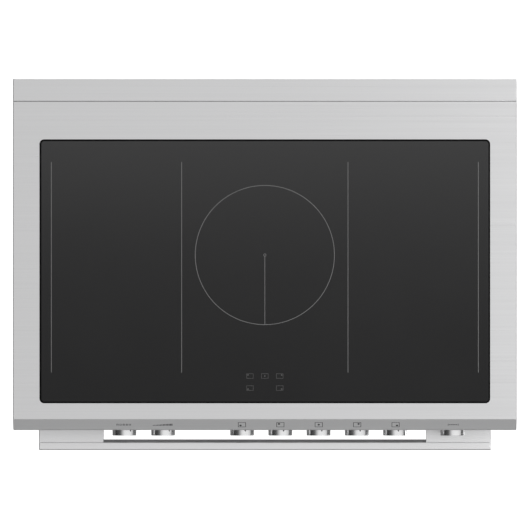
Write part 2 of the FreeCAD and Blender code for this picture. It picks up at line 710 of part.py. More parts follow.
def make_convection_baffle():
    """A shallow pan over the fan on the rear wall, with an inlet grille and side outlets."""
    half_w, half_h, depth = 235.0, 150.0, 34.0
    z = FAN_OVEN_Z
    pan = rounded_block(
        -half_w, half_w, CAVITY_BACK, CAVITY_BACK + depth, z - half_h, z + half_h, 24, V(0, 1, 0)
    )
    inner = rounded_block(
        -half_w + SHEET, half_w - SHEET, CAVITY_BACK - 1, CAVITY_BACK + depth - SHEET,
        z - half_h + SHEET, z + half_h - SHEET, 23, V(0, 1, 0),
    )
    pan = pan.cut(inner)
    holes = []
    for ring_r, count in ((12, 6), (24, 12), (36, 18), (48, 24)):
        for n in range(count):
            a = 2 * math.pi * n / count
            x, hz = ring_r * math.cos(a), z + ring_r * math.sin(a)
            holes.append(rod(x, CAVITY_BACK + depth - 5, hz, x, CAVITY_BACK + depth + 5, hz, 3.4))
    for side in (-1, 1):
        for n in range(-5, 6):
            hz = z + n * 22
            x0 = side * (half_w - 46) - 16
            holes.append(
                rounded_block(x0, x0 + 32, CAVITY_BACK + depth - 5, CAVITY_BACK + depth + 5,
                              hz - 3, hz + 3, 2.9, V(0, 1, 0))
            )
    return pan.cut(Part.makeCompound(holes))


def make_convection_fan():
    fan = bladed_rotor(124, 144, FAN_OVEN_Z, 14, 68, 8, 62, 20, 14)
    shaft = rod(0, 108, FAN_OVEN_Z, 0, 135, FAN_OVEN_Z, 4.0)
    return fused([fan, shaft])


def make_convection_motor():
    """The fan motor behind the oven's rear wall, with a bore for the fan's shaft."""
    can = rod(0, 62, FAN_OVEN_Z, 0, 110, FAN_OVEN_Z, 36)
    ends = [e for e in can.Edges if e.BoundBox.YLength < 0.01]
    can = can.makeFillet(3, ends)
    plate = rounded_block(-40, 40, 110, 112, FAN_OVEN_Z - 9, FAN_OVEN_Z + 9, 8, V(0, 1, 0))
    bore = rod(0, 100, FAN_OVEN_Z, 0, 120, FAN_OVEN_Z, 4.06)
    return fused([can, plate]).cut(bore)


def oven_lamp(x):
    """A domed lamp lens on the rear wall."""
    lens = rod(x, CAVITY_BACK, 650, x, CAVITY_BACK + 9, 650, 22)
    front = [e for e in lens.Edges if abs(e.BoundBox.YMax - place_y(CAVITY_BACK + 9)) < 0.01]
    return lens.makeFillet(6, front)


def make_door_gasket():
    outer = rounded_block(-386, 386, BODY_FRONT, DOOR_BACK - 0.3, 285, 722, 30, V(0, 1, 0))
    inner = rounded_block(-373, 373, BODY_FRONT - 1, DOOR_BACK, 291, 709, 20, V(0, 1, 0))
    return outer.cut(inner)


# ---------------------------------------------------------------- door
WINDOW_HALF, WINDOW_BOTTOM, WINDOW_TOP = 308.0, 392.0, 662.0
DOOR_SPLIT = 580.0


def hinge_notches():
    """The corner of the door that each fixed hinge bracket swings through."""
    notch = block(HINGE_X - 5, HINGE_X + 5, DOOR_BACK - 2, HINGE_DEPTH + 9, DOOR_BOTTOM - 1, HINGE_Z + 11)
    return both_sides(notch)


def make_door_outer_panel():
    panel = shell(
        -DOOR_HALF, DOOR_HALF, DOOR_SPLIT, DOOR_FRONT, DOOR_BOTTOM, DOOR_TOP, SHEET, ["back"]
    )
    window = rounded_block(
        -WINDOW_HALF, WINDOW_HALF, DOOR_FRONT - 5, DOOR_FRONT + 5, WINDOW_BOTTOM, WINDOW_TOP,
        10, V(0, 1, 0),
    )
    panel = panel.cut(window)
    for notch in hinge_notches():
        panel = panel.cut(notch)
    front_edges = [(DOOR_FRONT, DOOR_BOTTOM), (DOOR_FRONT, DOOR_TOP)]
    panel = round_lines(panel, front_edges, 1.1)
    for x, z in handle_screw_places():
        panel = panel.cut(rod(x, DOOR_FRONT - 5, z, x, DOOR_FRONT + 5, z, 3.0))
    return panel


def make_door_window_glass():
    back = DOOR_FRONT - SHEET - 4
    return rounded_block(
        -WINDOW_HALF - 16, WINDOW_HALF + 16, back, back + 4, WINDOW_BOTTOM - 16, WINDOW_TOP + 16,
        8, V(0, 1, 0),
    )


def make_door_inner_panel():
    panel = shell(
        -DOOR_HALF + 1.5, DOOR_HALF - 1.5, DOOR_BACK, DOOR_SPLIT, DOOR_BOTTOM + 1.5, DOOR_TOP - 1.5,
        SHEET, ["front"],
    )
    opening = rounded_block(
        -WINDOW_HALF - 12, WINDOW_HALF + 12, DOOR_BACK - 2, DOOR_BACK + 5,
        WINDOW_BOTTOM - 12, WINDOW_TOP + 12, 12, V(0, 1, 0),
    )
    panel = panel.cut(opening)
    for notch in hinge_notches():
        panel = panel.cut(notch)
    return panel


def make_door_inner_glass():
    back = DOOR_BACK + SHEET
    return rounded_block(
        -WINDOW_HALF - 26, WINDOW_HALF + 26, back, back + 5, WINDOW_BOTTOM - 26, WINDOW_TOP + 26,
        8, V(0, 1, 0),
    )


def door_hinge_arm(side):
    """A U-shaped arm inside the door: two cheeks that turn on the bracket's pin, and a web."""
    x = side * HINGE_X
    top = 430.0
    cheeks = []
    for x0, x1 in ((x - 10, x - 5.5), (x + 5.5, x + 10)):
        cheek = block(x0, x1, HINGE_DEPTH - 8, HINGE_DEPTH + 8, HINGE_Z, top)
        eye = rod(x0, HINGE_DEPTH, HINGE_Z, x1, HINGE_DEPTH, HINGE_Z, 8)
        cheeks += [cheek, eye]
    web = block(x - 10, x + 10, HINGE_DEPTH + 6.5, HINGE_DEPTH + 8, HINGE_Z + 14, top)
    arm = fused(cheeks + [web])
    return arm.cut(rod(x - 12, HINGE_DEPTH, HINGE_Z, x + 12, HINGE_DEPTH, HINGE_Z, HINGE_PIN_R + 0.06))


def door_hinge_bracket(side):
    """A fixed plate through the front frame, with the pivot pin riveted into its eye."""
    x = side * HINGE_X
    plate = block(x - 2.5, x + 2.5, 520, HINGE_DEPTH, HINGE_Z - 7.5, HINGE_Z + 7.5)
    eye = rod(x - 2.5, HINGE_DEPTH, HINGE_Z, x + 2.5, HINGE_DEPTH, HINGE_Z, 7.5)
    flange = block(x - 13, x + 13, BODY_FRONT - 5, BODY_FRONT - 2, HINGE_Z - 18, HINGE_Z + 26)
    pin = rod(x - 10, HINGE_DEPTH, HINGE_Z, x + 10, HINGE_DEPTH, HINGE_Z, HINGE_PIN_R)
    return fused([plate, eye, flange, pin])


def handle_screw_places():
    """X and Z of the four screws that hold the handle brackets."""
    middle = HANDLE_HALF - BRACKET_WIDTH / 2
    z = (HANDLE_BOTTOM + HANDLE_TOP) / 2
    return [(side * (middle + dx), z) for side in (-1, 1) for dx in (-38, 38)]


BAR_CHAMFER = 5.4
BAR_EDGE_RUN, BAR_EDGE_DROP = 1.8, 4.0
BRACKET_GROOVE = 1.2          # open line between a bracket and the bar
BRACKET_GROOVE_DEEP = 4.0


def make_handle_bar():
    """A bar with steep front edges, and deep chamfers along its back between the brackets."""
    back, front = HANDLE_BACK + BAR_CHAMFER, HANDLE_FRONT
    section = [
        (back, HANDLE_TOP), (front - BAR_EDGE_RUN, HANDLE_TOP), (front, HANDLE_TOP - BAR_EDGE_DROP),
        (front, HANDLE_BOTTOM + BAR_EDGE_DROP), (front - BAR_EDGE_RUN, HANDLE_BOTTOM), (back, HANDLE_BOTTOM),
    ]
    bar = prism_x(section, -HANDLE_HALF, HANDLE_HALF)
    bar = break_ends(bar, HANDLE_HALF, V(0, 1, 0), HANDLE_TOP - 0.01)
    wedge = prism_x(
        [
            (HANDLE_BACK + BAR_CHAMFER, HANDLE_TOP), (HANDLE_BACK, HANDLE_TOP - BAR_CHAMFER),
            (HANDLE_BACK, HANDLE_BOTTOM + BAR_CHAMFER), (HANDLE_BACK + BAR_CHAMFER, HANDLE_BOTTOM),
        ],
        -HANDLE_HALF + BRACKET_WIDTH, HANDLE_HALF - BRACKET_WIDTH,
    )
    return fused([bar, wedge])


def handle_bracket(side):
    """A broad stand-off that carries the bar, deeper at the door than at the bar."""
    x1 = HANDLE_HALF
    x0 = x1 - BRACKET_WIDTH
    d0, d1 = DOOR_FRONT, HANDLE_BACK + BAR_CHAMFER
    tongue_top, tongue_bottom = HANDLE_TOP - BRACKET_GROOVE_DEEP, HANDLE_BOTTOM + BRACKET_GROOVE_DEEP
    profile = [
        (d0, HANDLE_TOP), (d1 - BRACKET_GROOVE, HANDLE_TOP), (d1 - BRACKET_GROOVE, tongue_top),
        (d1, tongue_top), (d1, tongue_bottom), (d1 - BRACKET_GROOVE, tongue_bottom),
        (d1 - BRACKET_GROOVE, HANDLE_BOTTOM), (d0 + 24, HANDLE_BOTTOM - 2), (d0, HANDLE_BOTTOM - 12),
    ]
    bracket = prism_x(profile, x0, x1)
    bracket = round_lines(bracket, [(d0 + 24, HANDLE_BOTTOM - 2)], 30)
    bracket = break_ends(bracket, x1, V(0, 1, 0), HANDLE_TOP - 0.01)
    for x, z in handle_screw_places():
        if x > 0:
            bracket = bracket.cut(rod(x, d0 - 1, z, x, d0 + 20, z, 2.5))
    return bracket if side > 0 else mirrored(bracket)


# ---------------------------------------------------------------- drawer
GRIP_HEM = 9.0                # folded lip under the drawer front, pulled with the fingertips


def make_drawer_front():
    """A sheet front, open at the back and below, with a hem along its lower edge to pull on."""
    front = shell(
        -DOOR_HALF, DOOR_HALF, DOOR_BACK, DOOR_FRONT, DRAWER_BOTTOM, DRAWER_TOP, SHEET,
        ["back", "bottom"],
    )
    hem = block(
        -DOOR_HALF, DOOR_HALF, DOOR_FRONT - GRIP_HEM, DOOR_FRONT, DRAWER_BOTTOM, DRAWER_BOTTOM + SHEET
    )
    front = fused([front, hem])
    return round_lines(front, [(DOOR_FRONT, DRAWER_BOTTOM), (DOOR_FRONT, DRAWER_TOP)], 1.1)


DRAWER_HALF, DRAWER_BACK = 404.0, 140.0


def make_drawer_box():
    return shell(-DRAWER_HALF, DRAWER_HALF, DRAWER_BACK, DOOR_BACK, 122, 226, SHEET, ["top"])


def channel(x0, x1, d0, d1, z0, z1, wall):
    """A C-section along the depth: a web at the x0 end and two flanges towards x1."""
    outer = block(x0, x1, d0, d1, z0, z1)
    return outer.cut(block(x0 + wall, x1 + 1, d0 - 1, d1 + 1, z0 + wall, z1 - wall))


def drawer_slide():
    """The moving half of a runner, fixed to the drawer's side, with its rear roller."""
    rail = channel(DRAWER_HALF, DRAWER_HALF + 12, 165, 562, 156, 176, 1.5)
    roller = rod(DRAWER_HALF + 1, 172, 166, DRAWER_HALF + 13, 172, 166, 8.0)
    return fused([rail, roller])


def drawer_runner():
    """The fixed half of a runner: a C-channel on two stand-offs from the side panel."""
    web_x = DRAWER_HALF + 17
    rail = mirrored(channel(-web_x, -DRAWER_HALF - 4, 150, 562, 152, 180, 1.5))
    arms = [block(web_x - 0.5, BODY_HALF - SHEET, d, d + 24, 154, 178) for d in (200, 500)]
    return fused([rail] + arms)


# ---------------------------------------------------------------- fasteners
def rear_screw(x, z):
    """A pan-head screw in the rear panel."""
    head = rod(x, 0.9, z, x, 3.0, z, 4.0)
    rim = [e for e in head.Edges if abs(e.BoundBox.YMin - place_y(0.9)) < 0.01]
    head = head.makeFillet(1.2, rim)
    return fused([head, rod(x, 2.5, z, x, 9, z, SCREW_R)])


# ---------------------------------------------------------------- all nodes
def main():
    os.makedirs("parts", exist_ok=True)

    save("worktop", make_worktop())
    save("cooktop_glass", make_glass())
    save("glass_seal", make_seal())
    save("rear_trim", make_rear_trim())
    places = coil_places()
    save("coil_tray", make_coil_tray())
    save("side_induction_coils", [coil_winding(*p) for p in places[:4]])
    save("centre_induction_coil", coil_winding(*places[4]))
    save("coil_carriers", [coil_carrier(*p) for p in places])

    save("electronics_tray", make_electronics_tray())
    save("inverter_boards", both_sides(inverter_board()))
    save("heat_sinks", both_sides(heat_sink()))
    save("cooling_fan_housing", make_cooling_fan_housing())
    save("cooling_fan", bladed_rotor(FAN_DEPTH - 8, FAN_DEPTH + 10, FAN_Z, 16, FAN_R, 7, 50, 20, 16))

    save("control_panel", make_control_panel())
    save("display_window", make_display_window())
    for name, x in KNOB_X.items():
        save(name, make_knob(x))
    save("rotary_encoders", [rotary_encoder(x) for x in KNOB_X.values()])

    side = make_side_panel()
    save("side_panel_right", side)
    save("side_panel_left", mirrored(side))
    save("rear_panel", make_rear_panel())
    save("terminal_box", make_terminal_box())
    save("base_frame", make_base_frame())
    save("front_frame", make_front_frame())
    legs = {
        "front_left": (-LEG_X, LEG_FRONT_DEPTH),
        "front_right": (LEG_X, LEG_FRONT_DEPTH),
        "rear_left": (-LEG_X, LEG_REAR_DEPTH),
        "rear_right": (LEG_X, LEG_REAR_DEPTH),
    }
    save("leg_sleeves", [leg_sleeve(x, d) for x, d in legs.values()])
    for name, (x, d) in legs.items():
        save(f"levelling_foot_{name}", levelling_foot(x, d))
    save("kick_plate", make_kick_plate())
    save("body_screws", [rear_screw(x, z) for x, z in screw_places()])

    save("oven_liner", make_oven_liner())
    save("oven_insulation", make_oven_insulation())
    save("rack_guides", both_sides(rack_ladder()))
    save("oven_rack_lower", oven_rack(RAIL_HEIGHTS[1]))
    save("oven_rack_upper", oven_rack(RAIL_HEIGHTS[3]))
    save("grill_element", make_grill_element())
    save("convection_baffle", make_convection_baffle())
    save("convection_fan", make_convection_fan())
    save("convection_motor", make_convection_motor())
    save("oven_lamps", [oven_lamp(-290), oven_lamp(290)])
    save("door_gasket", make_door_gasket())

    save("door_outer_panel", make_door_outer_panel())
    save("door_window_glass", make_door_window_glass())
    save("door_inner_panel", make_door_inner_panel())
    save("door_inner_glass", make_door_inner_glass())
    save("door_hinge_arms", [door_hinge_arm(-1), door_hinge_arm(1)])
    save("door_hinge_brackets", [door_hinge_bracket(-1), door_hinge_bracket(1)])
    save("handle_bar", make_handle_bar())
    save("handle_brackets", [handle_bracket(-1), handle_bracket(1)])

    save("drawer_front", make_drawer_front())
    save("drawer_box", make_drawer_box())
    save("drawer_slides", both_sides(drawer_slide()))
    save("drawer_runners", both_sides(drawer_runner()))


main()
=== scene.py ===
"""The looks of a free-standing induction range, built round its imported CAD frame.

Everything is in metres in the row frame: +X to the right seen from the front, -Y to the user, +Z up.
Places come from the CAD nodes' boxes, so a piece follows its node if the node moves.
"""

import math

import bmesh
import bpy
from mathutils import Matrix, Vector


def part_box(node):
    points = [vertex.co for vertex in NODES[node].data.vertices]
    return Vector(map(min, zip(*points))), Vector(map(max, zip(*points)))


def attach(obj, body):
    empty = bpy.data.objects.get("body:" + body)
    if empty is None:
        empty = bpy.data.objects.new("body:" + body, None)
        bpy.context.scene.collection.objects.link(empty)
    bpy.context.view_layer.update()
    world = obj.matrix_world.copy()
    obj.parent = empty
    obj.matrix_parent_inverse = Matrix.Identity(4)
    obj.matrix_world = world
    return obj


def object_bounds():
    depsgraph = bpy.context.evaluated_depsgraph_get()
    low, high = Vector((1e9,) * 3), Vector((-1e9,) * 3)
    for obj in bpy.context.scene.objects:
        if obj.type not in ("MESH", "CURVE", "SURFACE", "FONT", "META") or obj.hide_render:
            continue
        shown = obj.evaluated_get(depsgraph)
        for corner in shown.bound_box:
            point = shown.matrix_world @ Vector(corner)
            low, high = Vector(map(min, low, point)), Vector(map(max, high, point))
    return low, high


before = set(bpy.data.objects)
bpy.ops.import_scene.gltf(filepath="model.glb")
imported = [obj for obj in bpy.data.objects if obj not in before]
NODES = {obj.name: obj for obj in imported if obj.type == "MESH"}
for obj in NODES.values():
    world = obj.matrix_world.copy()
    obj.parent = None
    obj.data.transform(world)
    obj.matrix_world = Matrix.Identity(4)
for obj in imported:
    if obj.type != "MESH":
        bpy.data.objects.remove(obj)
cad_low, cad_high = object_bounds()

MM = 0.001

# ------------------------------------------------------------------ driving values
CAMERA_DISTANCE = 15.995        # above the worktop
CAMERA_LENS = 600.0             # mm, on a 36 mm sensor
CAMERA_X = 0.3 * MM             # what the picture's centre looks at
CAMERA_Y = 0.9 * MM
WORKTOP_Z = 0.914

KNOBS = [
    "knob_oven_function", "knob_oven_temperature", "knob_zone_left_front", "knob_zone_left_rear",
    "knob_zone_centre", "knob_zone_right_rear", "knob_zone_right_front", "knob_timer",
]
ZONE_KNOBS = KNOBS[2:7]
# Where each cooking zone lies on its little map: across and back, from -1 to 1.
ZONE_SPOTS = {
    "left_front": (-1, -1), "left_rear": (-1, 1), "centre": (0, 0),
    "right_rear": (1, 1), "right_front": (1, -1),
}

# The studio's brightness along each axis of a direction, from -1 (place 0) to 1 (place 1).
WORLD_ACROSS = [(0.0, 0.05), (0.2, 0.14), (0.38, 0.66), (0.5, 1.0), (0.75, 1.12), (1.0, 1.25)]
WORLD_ALONG = [(0.0, 1.4), (0.12, 1.22), (0.28, 0.9), (0.42, 1.0), (0.7, 1.0), (1.0, 0.7)]
WORLD_HEIGHT = [(0.0, 0.25), (0.5, 0.55), (0.75, 0.84), (1.0, 0.98)]
# Nodes that the softboxes at the left and in front leave to the room's own light.
SEEN_FROM_ABOVE = KNOBS + [
    "worktop", "rear_trim", "control_panel", "cooktop_glass", "glass_seal",
    "handle_bar", "handle_brackets",
]


# ------------------------------------------------------------------ material helpers
class Surface:
    """A Principled material with short ways to add procedural detail."""

    def __init__(self, name, color, roughness, metallic=0.0, specular=0.5):
        self.material = bpy.data.materials.new(name)
        self.material.use_nodes = True
        self.nodes = self.material.node_tree.nodes
        self.links = self.material.node_tree.links
        self.shader = self.nodes["Principled BSDF"]
        self.color = color
        self.roughness = roughness
        self.shader.inputs["Base Color"].default_value = (*color, 1.0)
        self.shader.inputs["Roughness"].default_value = roughness
        self.shader.inputs["Metallic"].default_value = metallic
        self.shader.inputs["Specular IOR Level"].default_value = specular
        self.material.diffuse_color = (*color, 1.0)

    def node(self, kind, **settings):
        made = self.nodes.new(kind)
        for key, value in settings.items():
            if key in made.inputs:
                made.inputs[key].default_value = value
            else:
                setattr(made, key, value)
        return made

    def link(self, source, target):
        self.links.new(source, target)

    def place(self, scale=(1, 1, 1), generated=False):
        """Object (or generated) coordinates, stretched by a scale for each axis."""
        coords = self.node("ShaderNodeTexCoord")
        mapping = self.node("ShaderNodeMapping")
        mapping.inputs["Scale"].default_value = scale
        self.link(coords.outputs["Generated" if generated else "Object"], mapping.inputs["Vector"])
        return mapping.outputs["Vector"]

    def noise(self, vector, scale, detail=3.0, roughness=0.55):
        made = self.node("ShaderNodeTexNoise", Scale=scale, Detail=detail, Roughness=roughness)
        self.link(vector, made.inputs["Vector"])
        return made.outputs["Fac"]

    def spread(self, value, low, high, from_low=0.3, from_high=0.7):
        """Maps a 0 to 1 pattern on to a range."""
        made = self.node("ShaderNodeMapRange")
        made.inputs["From Min"].default_value = from_low
        made.inputs["From Max"].default_value = from_high
        made.inputs["To Min"].default_value = low
        made.inputs["To Max"].default_value = high
        self.link(value, made.inputs["Value"])
        return made.outputs["Result"]

    def math(self, operation, first, second=None):
        made = self.node("ShaderNodeMath", operation=operation)
        for socket, value in zip(made.inputs, (first, second)):
            if value is None:
                continue
            if isinstance(value, (int, float)):
                socket.default_value = value
            else:
                self.link(value, socket)
        return made.outputs["Value"]

    def mix(self, fac, first, second):
        """A colour between two colours or colour sockets."""
        made = self.node("ShaderNodeMix", data_type="RGBA")
        self.link(fac, made.inputs["Factor"])
        for socket, value in ((made.inputs[6], first), (made.inputs[7], second)):
            if isinstance(value, tuple):
                socket.default_value = (*value, 1.0)
            else:
                self.link(value, socket)
        return made.outputs[2]

    def tint(self, fac, amount):
        """Varies the base colour by plus or minus a share of itself."""
        low = tuple(c * (1 - amount) for c in self.color)
        high = tuple(min(1.0, c * (1 + amount)) for c in self.color)
        self.link(self.mix(fac, low, high), self.shader.inputs["Base Color"])

    def vary_roughness(self, fac, amount):
        low, high = self.roughness - amount, self.roughness + amount
        self.link(self.spread(fac, low, high), self.shader.inputs["Roughness"])

    def bump(self, height, distance):
        made = self.node("ShaderNodeBump", Strength=1.0, Distance=distance)
        self.link(height, made.inputs["Height"])
        self.link(made.outputs["Normal"], self.shader.inputs["Normal"])


def brushed_steel(name, color=(0.62, 0.62, 0.625), roughness=0.3, grain=(2.0, 900.0, 900.0)):
    """Steel with a long fine grain, by default across the width, and faint broad unevenness."""
    made = Surface(name, color, roughness, metallic=1.0)
    fine = made.noise(made.place(grain), 1.0, detail=4.0, roughness=0.7)
    coarse_grain = tuple(g / 3.5 for g in grain)
    streaks = made.noise(made.place(coarse_grain), 1.0, detail=2.0)
    cloud = made.noise(made.place(), 2.2, detail=2.0)
    both = made.math("ADD", made.math("MULTIPLY", fine, 0.6), made.math("MULTIPLY", streaks, 0.4))
    made.tint(made.spread(both, 0.0, 1.0, 0.25, 0.75), 0.045)
    rough = made.math("ADD", made.math("MULTIPLY", both, 0.75), made.math("MULTIPLY", cloud, 0.25))
    made.vary_roughness(rough, 0.05)
    made.bump(both, 4e-6)
    return made.material


def turned_metal(name, color, roughness):
    """Fine rings round the Y axis on a turned part, from its own box's middle."""
    made = Surface(name, color, roughness, metallic=1.0)
    generated = made.place((2, 2, 2), generated=True)
    split = made.node("ShaderNodeSeparateXYZ")
    made.link(generated, split.inputs["Vector"])
    across = made.math("SUBTRACT", split.outputs["X"], 1.0)
    up = made.math("SUBTRACT", split.outputs["Z"], 1.0)
    squares = made.math("ADD", made.math("POWER", across, 2.0), made.math("POWER", up, 2.0))
    radius = made.math("SQRT", squares)
    rings = made.node("ShaderNodeCombineXYZ")
    made.link(made.math("MULTIPLY", radius, 55.0), rings.inputs["X"])
    made.link(made.math("MULTIPLY", split.outputs["Y"], 40.0), rings.inputs["Y"])
    grain = made.noise(rings.outputs["Vector"], 1.0, detail=3.0)
    made.tint(made.spread(grain, 0.0, 1.0), 0.04)
    made.vary_roughness(grain, 0.04)
    made.bump(grain, 6e-6)
    return made.material


def glass_ceramic(name):
    """Black glass-ceramic with a faint orange peel and the finest speckle below its face."""
    made = Surface(name, (0.002, 0.002, 0.0022), 0.3, specular=0.22)
    place = made.place()
    speckle = made.noise(place, 900.0, detail=2.0)
    made.tint(made.spread(speckle, 0.0, 1.0), 0.5)
    smear = made.noise(place, 6.0, detail=4.0)
    made.vary_roughness(smear, 0.02)
    made.bump(made.noise(place, 120.0), 3e-6)
    return made.material


def enamel(name, color, speck):
    """Fired enamel: glossy, a little uneven, with sparse pale specks."""
    made = Surface(name, color, 0.16)
    place = made.place()
    cells = made.node("ShaderNodeTexVoronoi", Scale=420.0)
    made.link(place, cells.inputs["Vector"])
    specks = made.spread(cells.outputs["Distance"], 1.0, 0.0, 0.10, 0.22)
    cloud = made.spread(made.noise(place, 9.0), 0.0, 1.0)
    dark = tuple(c * 0.8 for c in color)
    light = tuple(c * 1.25 for c in color)
    base = made.mix(cloud, dark, light)
    made.link(made.mix(specks, base, speck), made.shader.inputs["Base Color"])
    made.vary_roughness(cloud, 0.04)
    made.bump(made.noise(place, 60.0), 6e-5)
    return made.material


def painted(name, color, roughness=0.42):
    """Powder paint with orange peel and slight tone drift."""
    made = Surface(name, color, roughness)
    place = made.place()
    made.tint(made.spread(made.noise(place, 4.0), 0.0, 1.0), 0.05)
    made.vary_roughness(made.noise(place, 25.0), 0.05)
    made.bump(made.noise(place, 320.0), 4e-5)
    return made.material


def zinc(name, color=(0.47, 0.49, 0.51)):
    """Hot-dip galvanised sheet, with its spangle."""
    made = Surface(name, color, 0.42, metallic=0.85)
    place = made.place()
    cells = made.node("ShaderNodeTexVoronoi", Scale=110.0)
    made.link(place, cells.inputs["Vector"])
    shade = made.node("ShaderNodeSeparateColor")
    made.link(cells.outputs["Color"], shade.inputs["Color"])
    fac = made.math("ADD", made.math("MULTIPLY", shade.outputs["Red"], 0.7),
                    made.math("MULTIPLY", made.noise(place, 30.0), 0.3))
    made.tint(fac, 0.05)
    made.vary_roughness(fac, 0.03)
    made.bump(made.noise(place, 200.0), 1e-5)
    return made.material


def moulded(name, color, roughness=0.5, grain=700.0, specular=0.5):
    """Moulded plastic or rubber with a fine spark-eroded texture."""
    made = Surface(name, color, roughness, specular=specular)
    place = made.place()
    texture = made.noise(place, grain, detail=2.0)
    made.tint(made.spread(made.noise(place, 14.0), 0.0, 1.0), 0.12)
    made.vary_roughness(texture, 0.06)
    made.bump(texture, 3e-5)
    return made.material


def plated(name, color, roughness=0.14):
    """Bright plating with faint polishing haze."""
    made = Surface(name, color, roughness, metallic=1.0)
    place = made.place()
    haze = made.noise(place, 90.0, detail=4.0)
    made.tint(made.spread(haze, 0.0, 1.0), 0.05)
    made.vary_roughness(haze, 0.05)
    made.bump(made.noise(place, 260.0), 4e-6)
    return made.material


def cast_aluminium(name):
    """Extruded aluminium with die lines along its length."""
    made = Surface(name, (0.60, 0.61, 0.63), 0.38, metallic=1.0)
    lines = made.noise(made.place((700, 4, 700)), 1.0)
    made.tint(made.spread(lines, 0.0, 1.0), 0.08)
    made.vary_roughness(lines, 0.06)
    made.bump(lines, 1e-5)
    return made.material


def litz_winding(name):
    """Copper strands that spiral slightly inside each turn of a coil."""
    made = Surface(name, (0.56, 0.22, 0.09), 0.34, metallic=0.9)
    place = made.place()
    strands = made.node("ShaderNodeTexWave", Scale=260.0, Distortion=3.0)
    strands.bands_direction = "DIAGONAL"
    made.link(place, strands.inputs["Vector"])
    shade = made.math("ADD", made.math("MULTIPLY", strands.outputs["Fac"], 0.6),
                      made.math("MULTIPLY", made.noise(place, 40.0), 0.4))
    made.tint(shade, 0.25)
    made.vary_roughness(shade, 0.08)
    made.bump(strands.outputs["Fac"], 1.2e-4)
    return made.material


def circuit_board(name):
    """Green solder mask over copper tracks."""
    made = Surface(name, (0.015, 0.11, 0.045), 0.3)
    tracks = made.node("ShaderNodeTexBrick", Scale=55.0)
    tracks.inputs["Color1"].default_value = (0.012, 0.085, 0.035, 1)
    tracks.inputs["Color2"].default_value = (0.016, 0.12, 0.05, 1)
    tracks.inputs["Mortar"].default_value = (0.03, 0.20, 0.08, 1)
    tracks.inputs["Mortar Size"].default_value = 0.05
    made.link(made.place(), tracks.inputs["Vector"])
    made.link(tracks.outputs["Color"], made.shader.inputs["Base Color"])
    made.vary_roughness(made.noise(made.place(), 80.0), 0.06)
    made.bump(tracks.outputs["Fac"], 3e-5)
    return made.material


def wool(name):
    """Loose mineral wool."""
    made = Surface(name, (0.55, 0.49, 0.33), 0.95, specular=0.1)
    fibres = made.noise(made.place((60, 400, 400)), 1.0, detail=8.0, roughness=0.75)
    clumps = made.noise(made.place(), 35.0, detail=5.0)
    both = made.math("ADD", made.math("MULTIPLY", fibres, 0.5), made.math("MULTIPLY", clumps, 0.5))
    made.tint(made.spread(both, 0.0, 1.0), 0.3)
    made.bump(both, 2e-3)
    return made.material


def woven(name, color):
    """A tight fibre braid."""
    made = Surface(name, color, 0.85, specular=0.2)
    place = made.place()
    over = made.node("ShaderNodeTexWave", Scale=330.0)
    over.bands_direction = "DIAGONAL"
    made.link(place, over.inputs["Vector"])
    across = made.node("ShaderNodeTexWave", Scale=330.0)
    across.bands_direction = "X"
    made.link(place, across.inputs["Vector"])
    braid = made.math("MULTIPLY", over.outputs["Fac"], across.outputs["Fac"])
    made.tint(braid, 0.45)
    made.bump(braid, 4e-4)
    return made.material


def see_through(name, color, roughness, transmission):
    """Glass that shows what is behind it, with faint wipe marks."""
    made = Surface(name, color, roughness)
    made.shader.inputs["Transmission Weight"].default_value = transmission
    made.shader.inputs["IOR"].default_value = 1.5
    place = made.place()
    marks = made.noise(place, 7.0, detail=5.0)
    made.tint(made.spread(marks, 0.0, 1.0), 0.06)
    made.vary_roughness(marks, roughness * 0.4)
    return made.material


def printed(name, color, roughness=0.6):
    """Screen-printed ink, a little open at its edges."""
    made = Surface(name, color, roughness, specular=0.3)
    dots = made.noise(made.place(), 1600.0, detail=1.0)
    made.tint(made.spread(dots, 0.0, 1.0), 0.1)
    return made.material


def glowing(name, color, strength):
    """A lit segment behind the display lens."""
    made = Surface(name, color, 0.4)
    made.shader.inputs["Emission Color"].default_value = (*color, 1.0)
    made.shader.inputs["Emission Strength"].default_value = strength
    made.tint(made.spread(made.noise(made.place(), 500.0), 0.0, 1.0), 0.1)
    return made.material


STEEL = brushed_steel("brushed_steel_across")
LEG_STEEL = brushed_steel("leg_steel", color=(0.55, 0.55, 0.56), grain=(500.0, 500.0, 6.0))
KNOB_METAL = turned_metal("knob_metal", (0.76, 0.76, 0.765), 0.2)
# Painted light: the worktop's brushed steel made lighter for the handle, standing in for the brighter light
# on its top.
HANDLE_STEEL_PAINTED_LIGHT = brushed_steel("handle_steel_painted_light", color=(0.74, 0.74, 0.745))
GLASS = glass_ceramic("black_glass_ceramic")
SEAL = moulded("black_silicone", (0.002, 0.002, 0.002), 0.75, specular=0.04)
SIDE_PAINT = painted("silver_grey_paint", (0.40, 0.405, 0.41))
ZINC = zinc("galvanised_sheet")
BLACK_ENAMEL = enamel("black_enamel", (0.012, 0.012, 0.013), (0.03, 0.03, 0.032))
OVEN_ENAMEL = enamel("oven_enamel", (0.03, 0.033, 0.042), (0.16, 0.17, 0.2))
BLACK_PLASTIC = moulded("black_plastic", (0.02, 0.02, 0.021))
CARRIER = moulded("carrier_plastic", (0.05, 0.05, 0.053), 0.6)
CHROME = plated("chrome", (0.72, 0.72, 0.74))
SCREW = plated("screw_plating", (0.55, 0.55, 0.56), 0.22)
HINGE = plated("hinge_plating", (0.42, 0.42, 0.43), 0.34)
HEATER = moulded("heater_sheath", (0.055, 0.05, 0.046), 0.55, 300.0)
INK_GREY = printed("grey_print", (0.105, 0.105, 0.105))
INK_FAINT = printed("faint_print", (0.06, 0.06, 0.06))
INK_DARK = printed("dark_print", (0.02, 0.02, 0.022))
GLASS_BORDER = printed("glass_border", (0.006, 0.006, 0.007), 0.08)
DISPLAY = see_through("display_lens", (0.01, 0.01, 0.012), 0.06, 0.0)
DIGIT = glowing("display_digit", (0.35, 0.75, 1.0), 1.4)
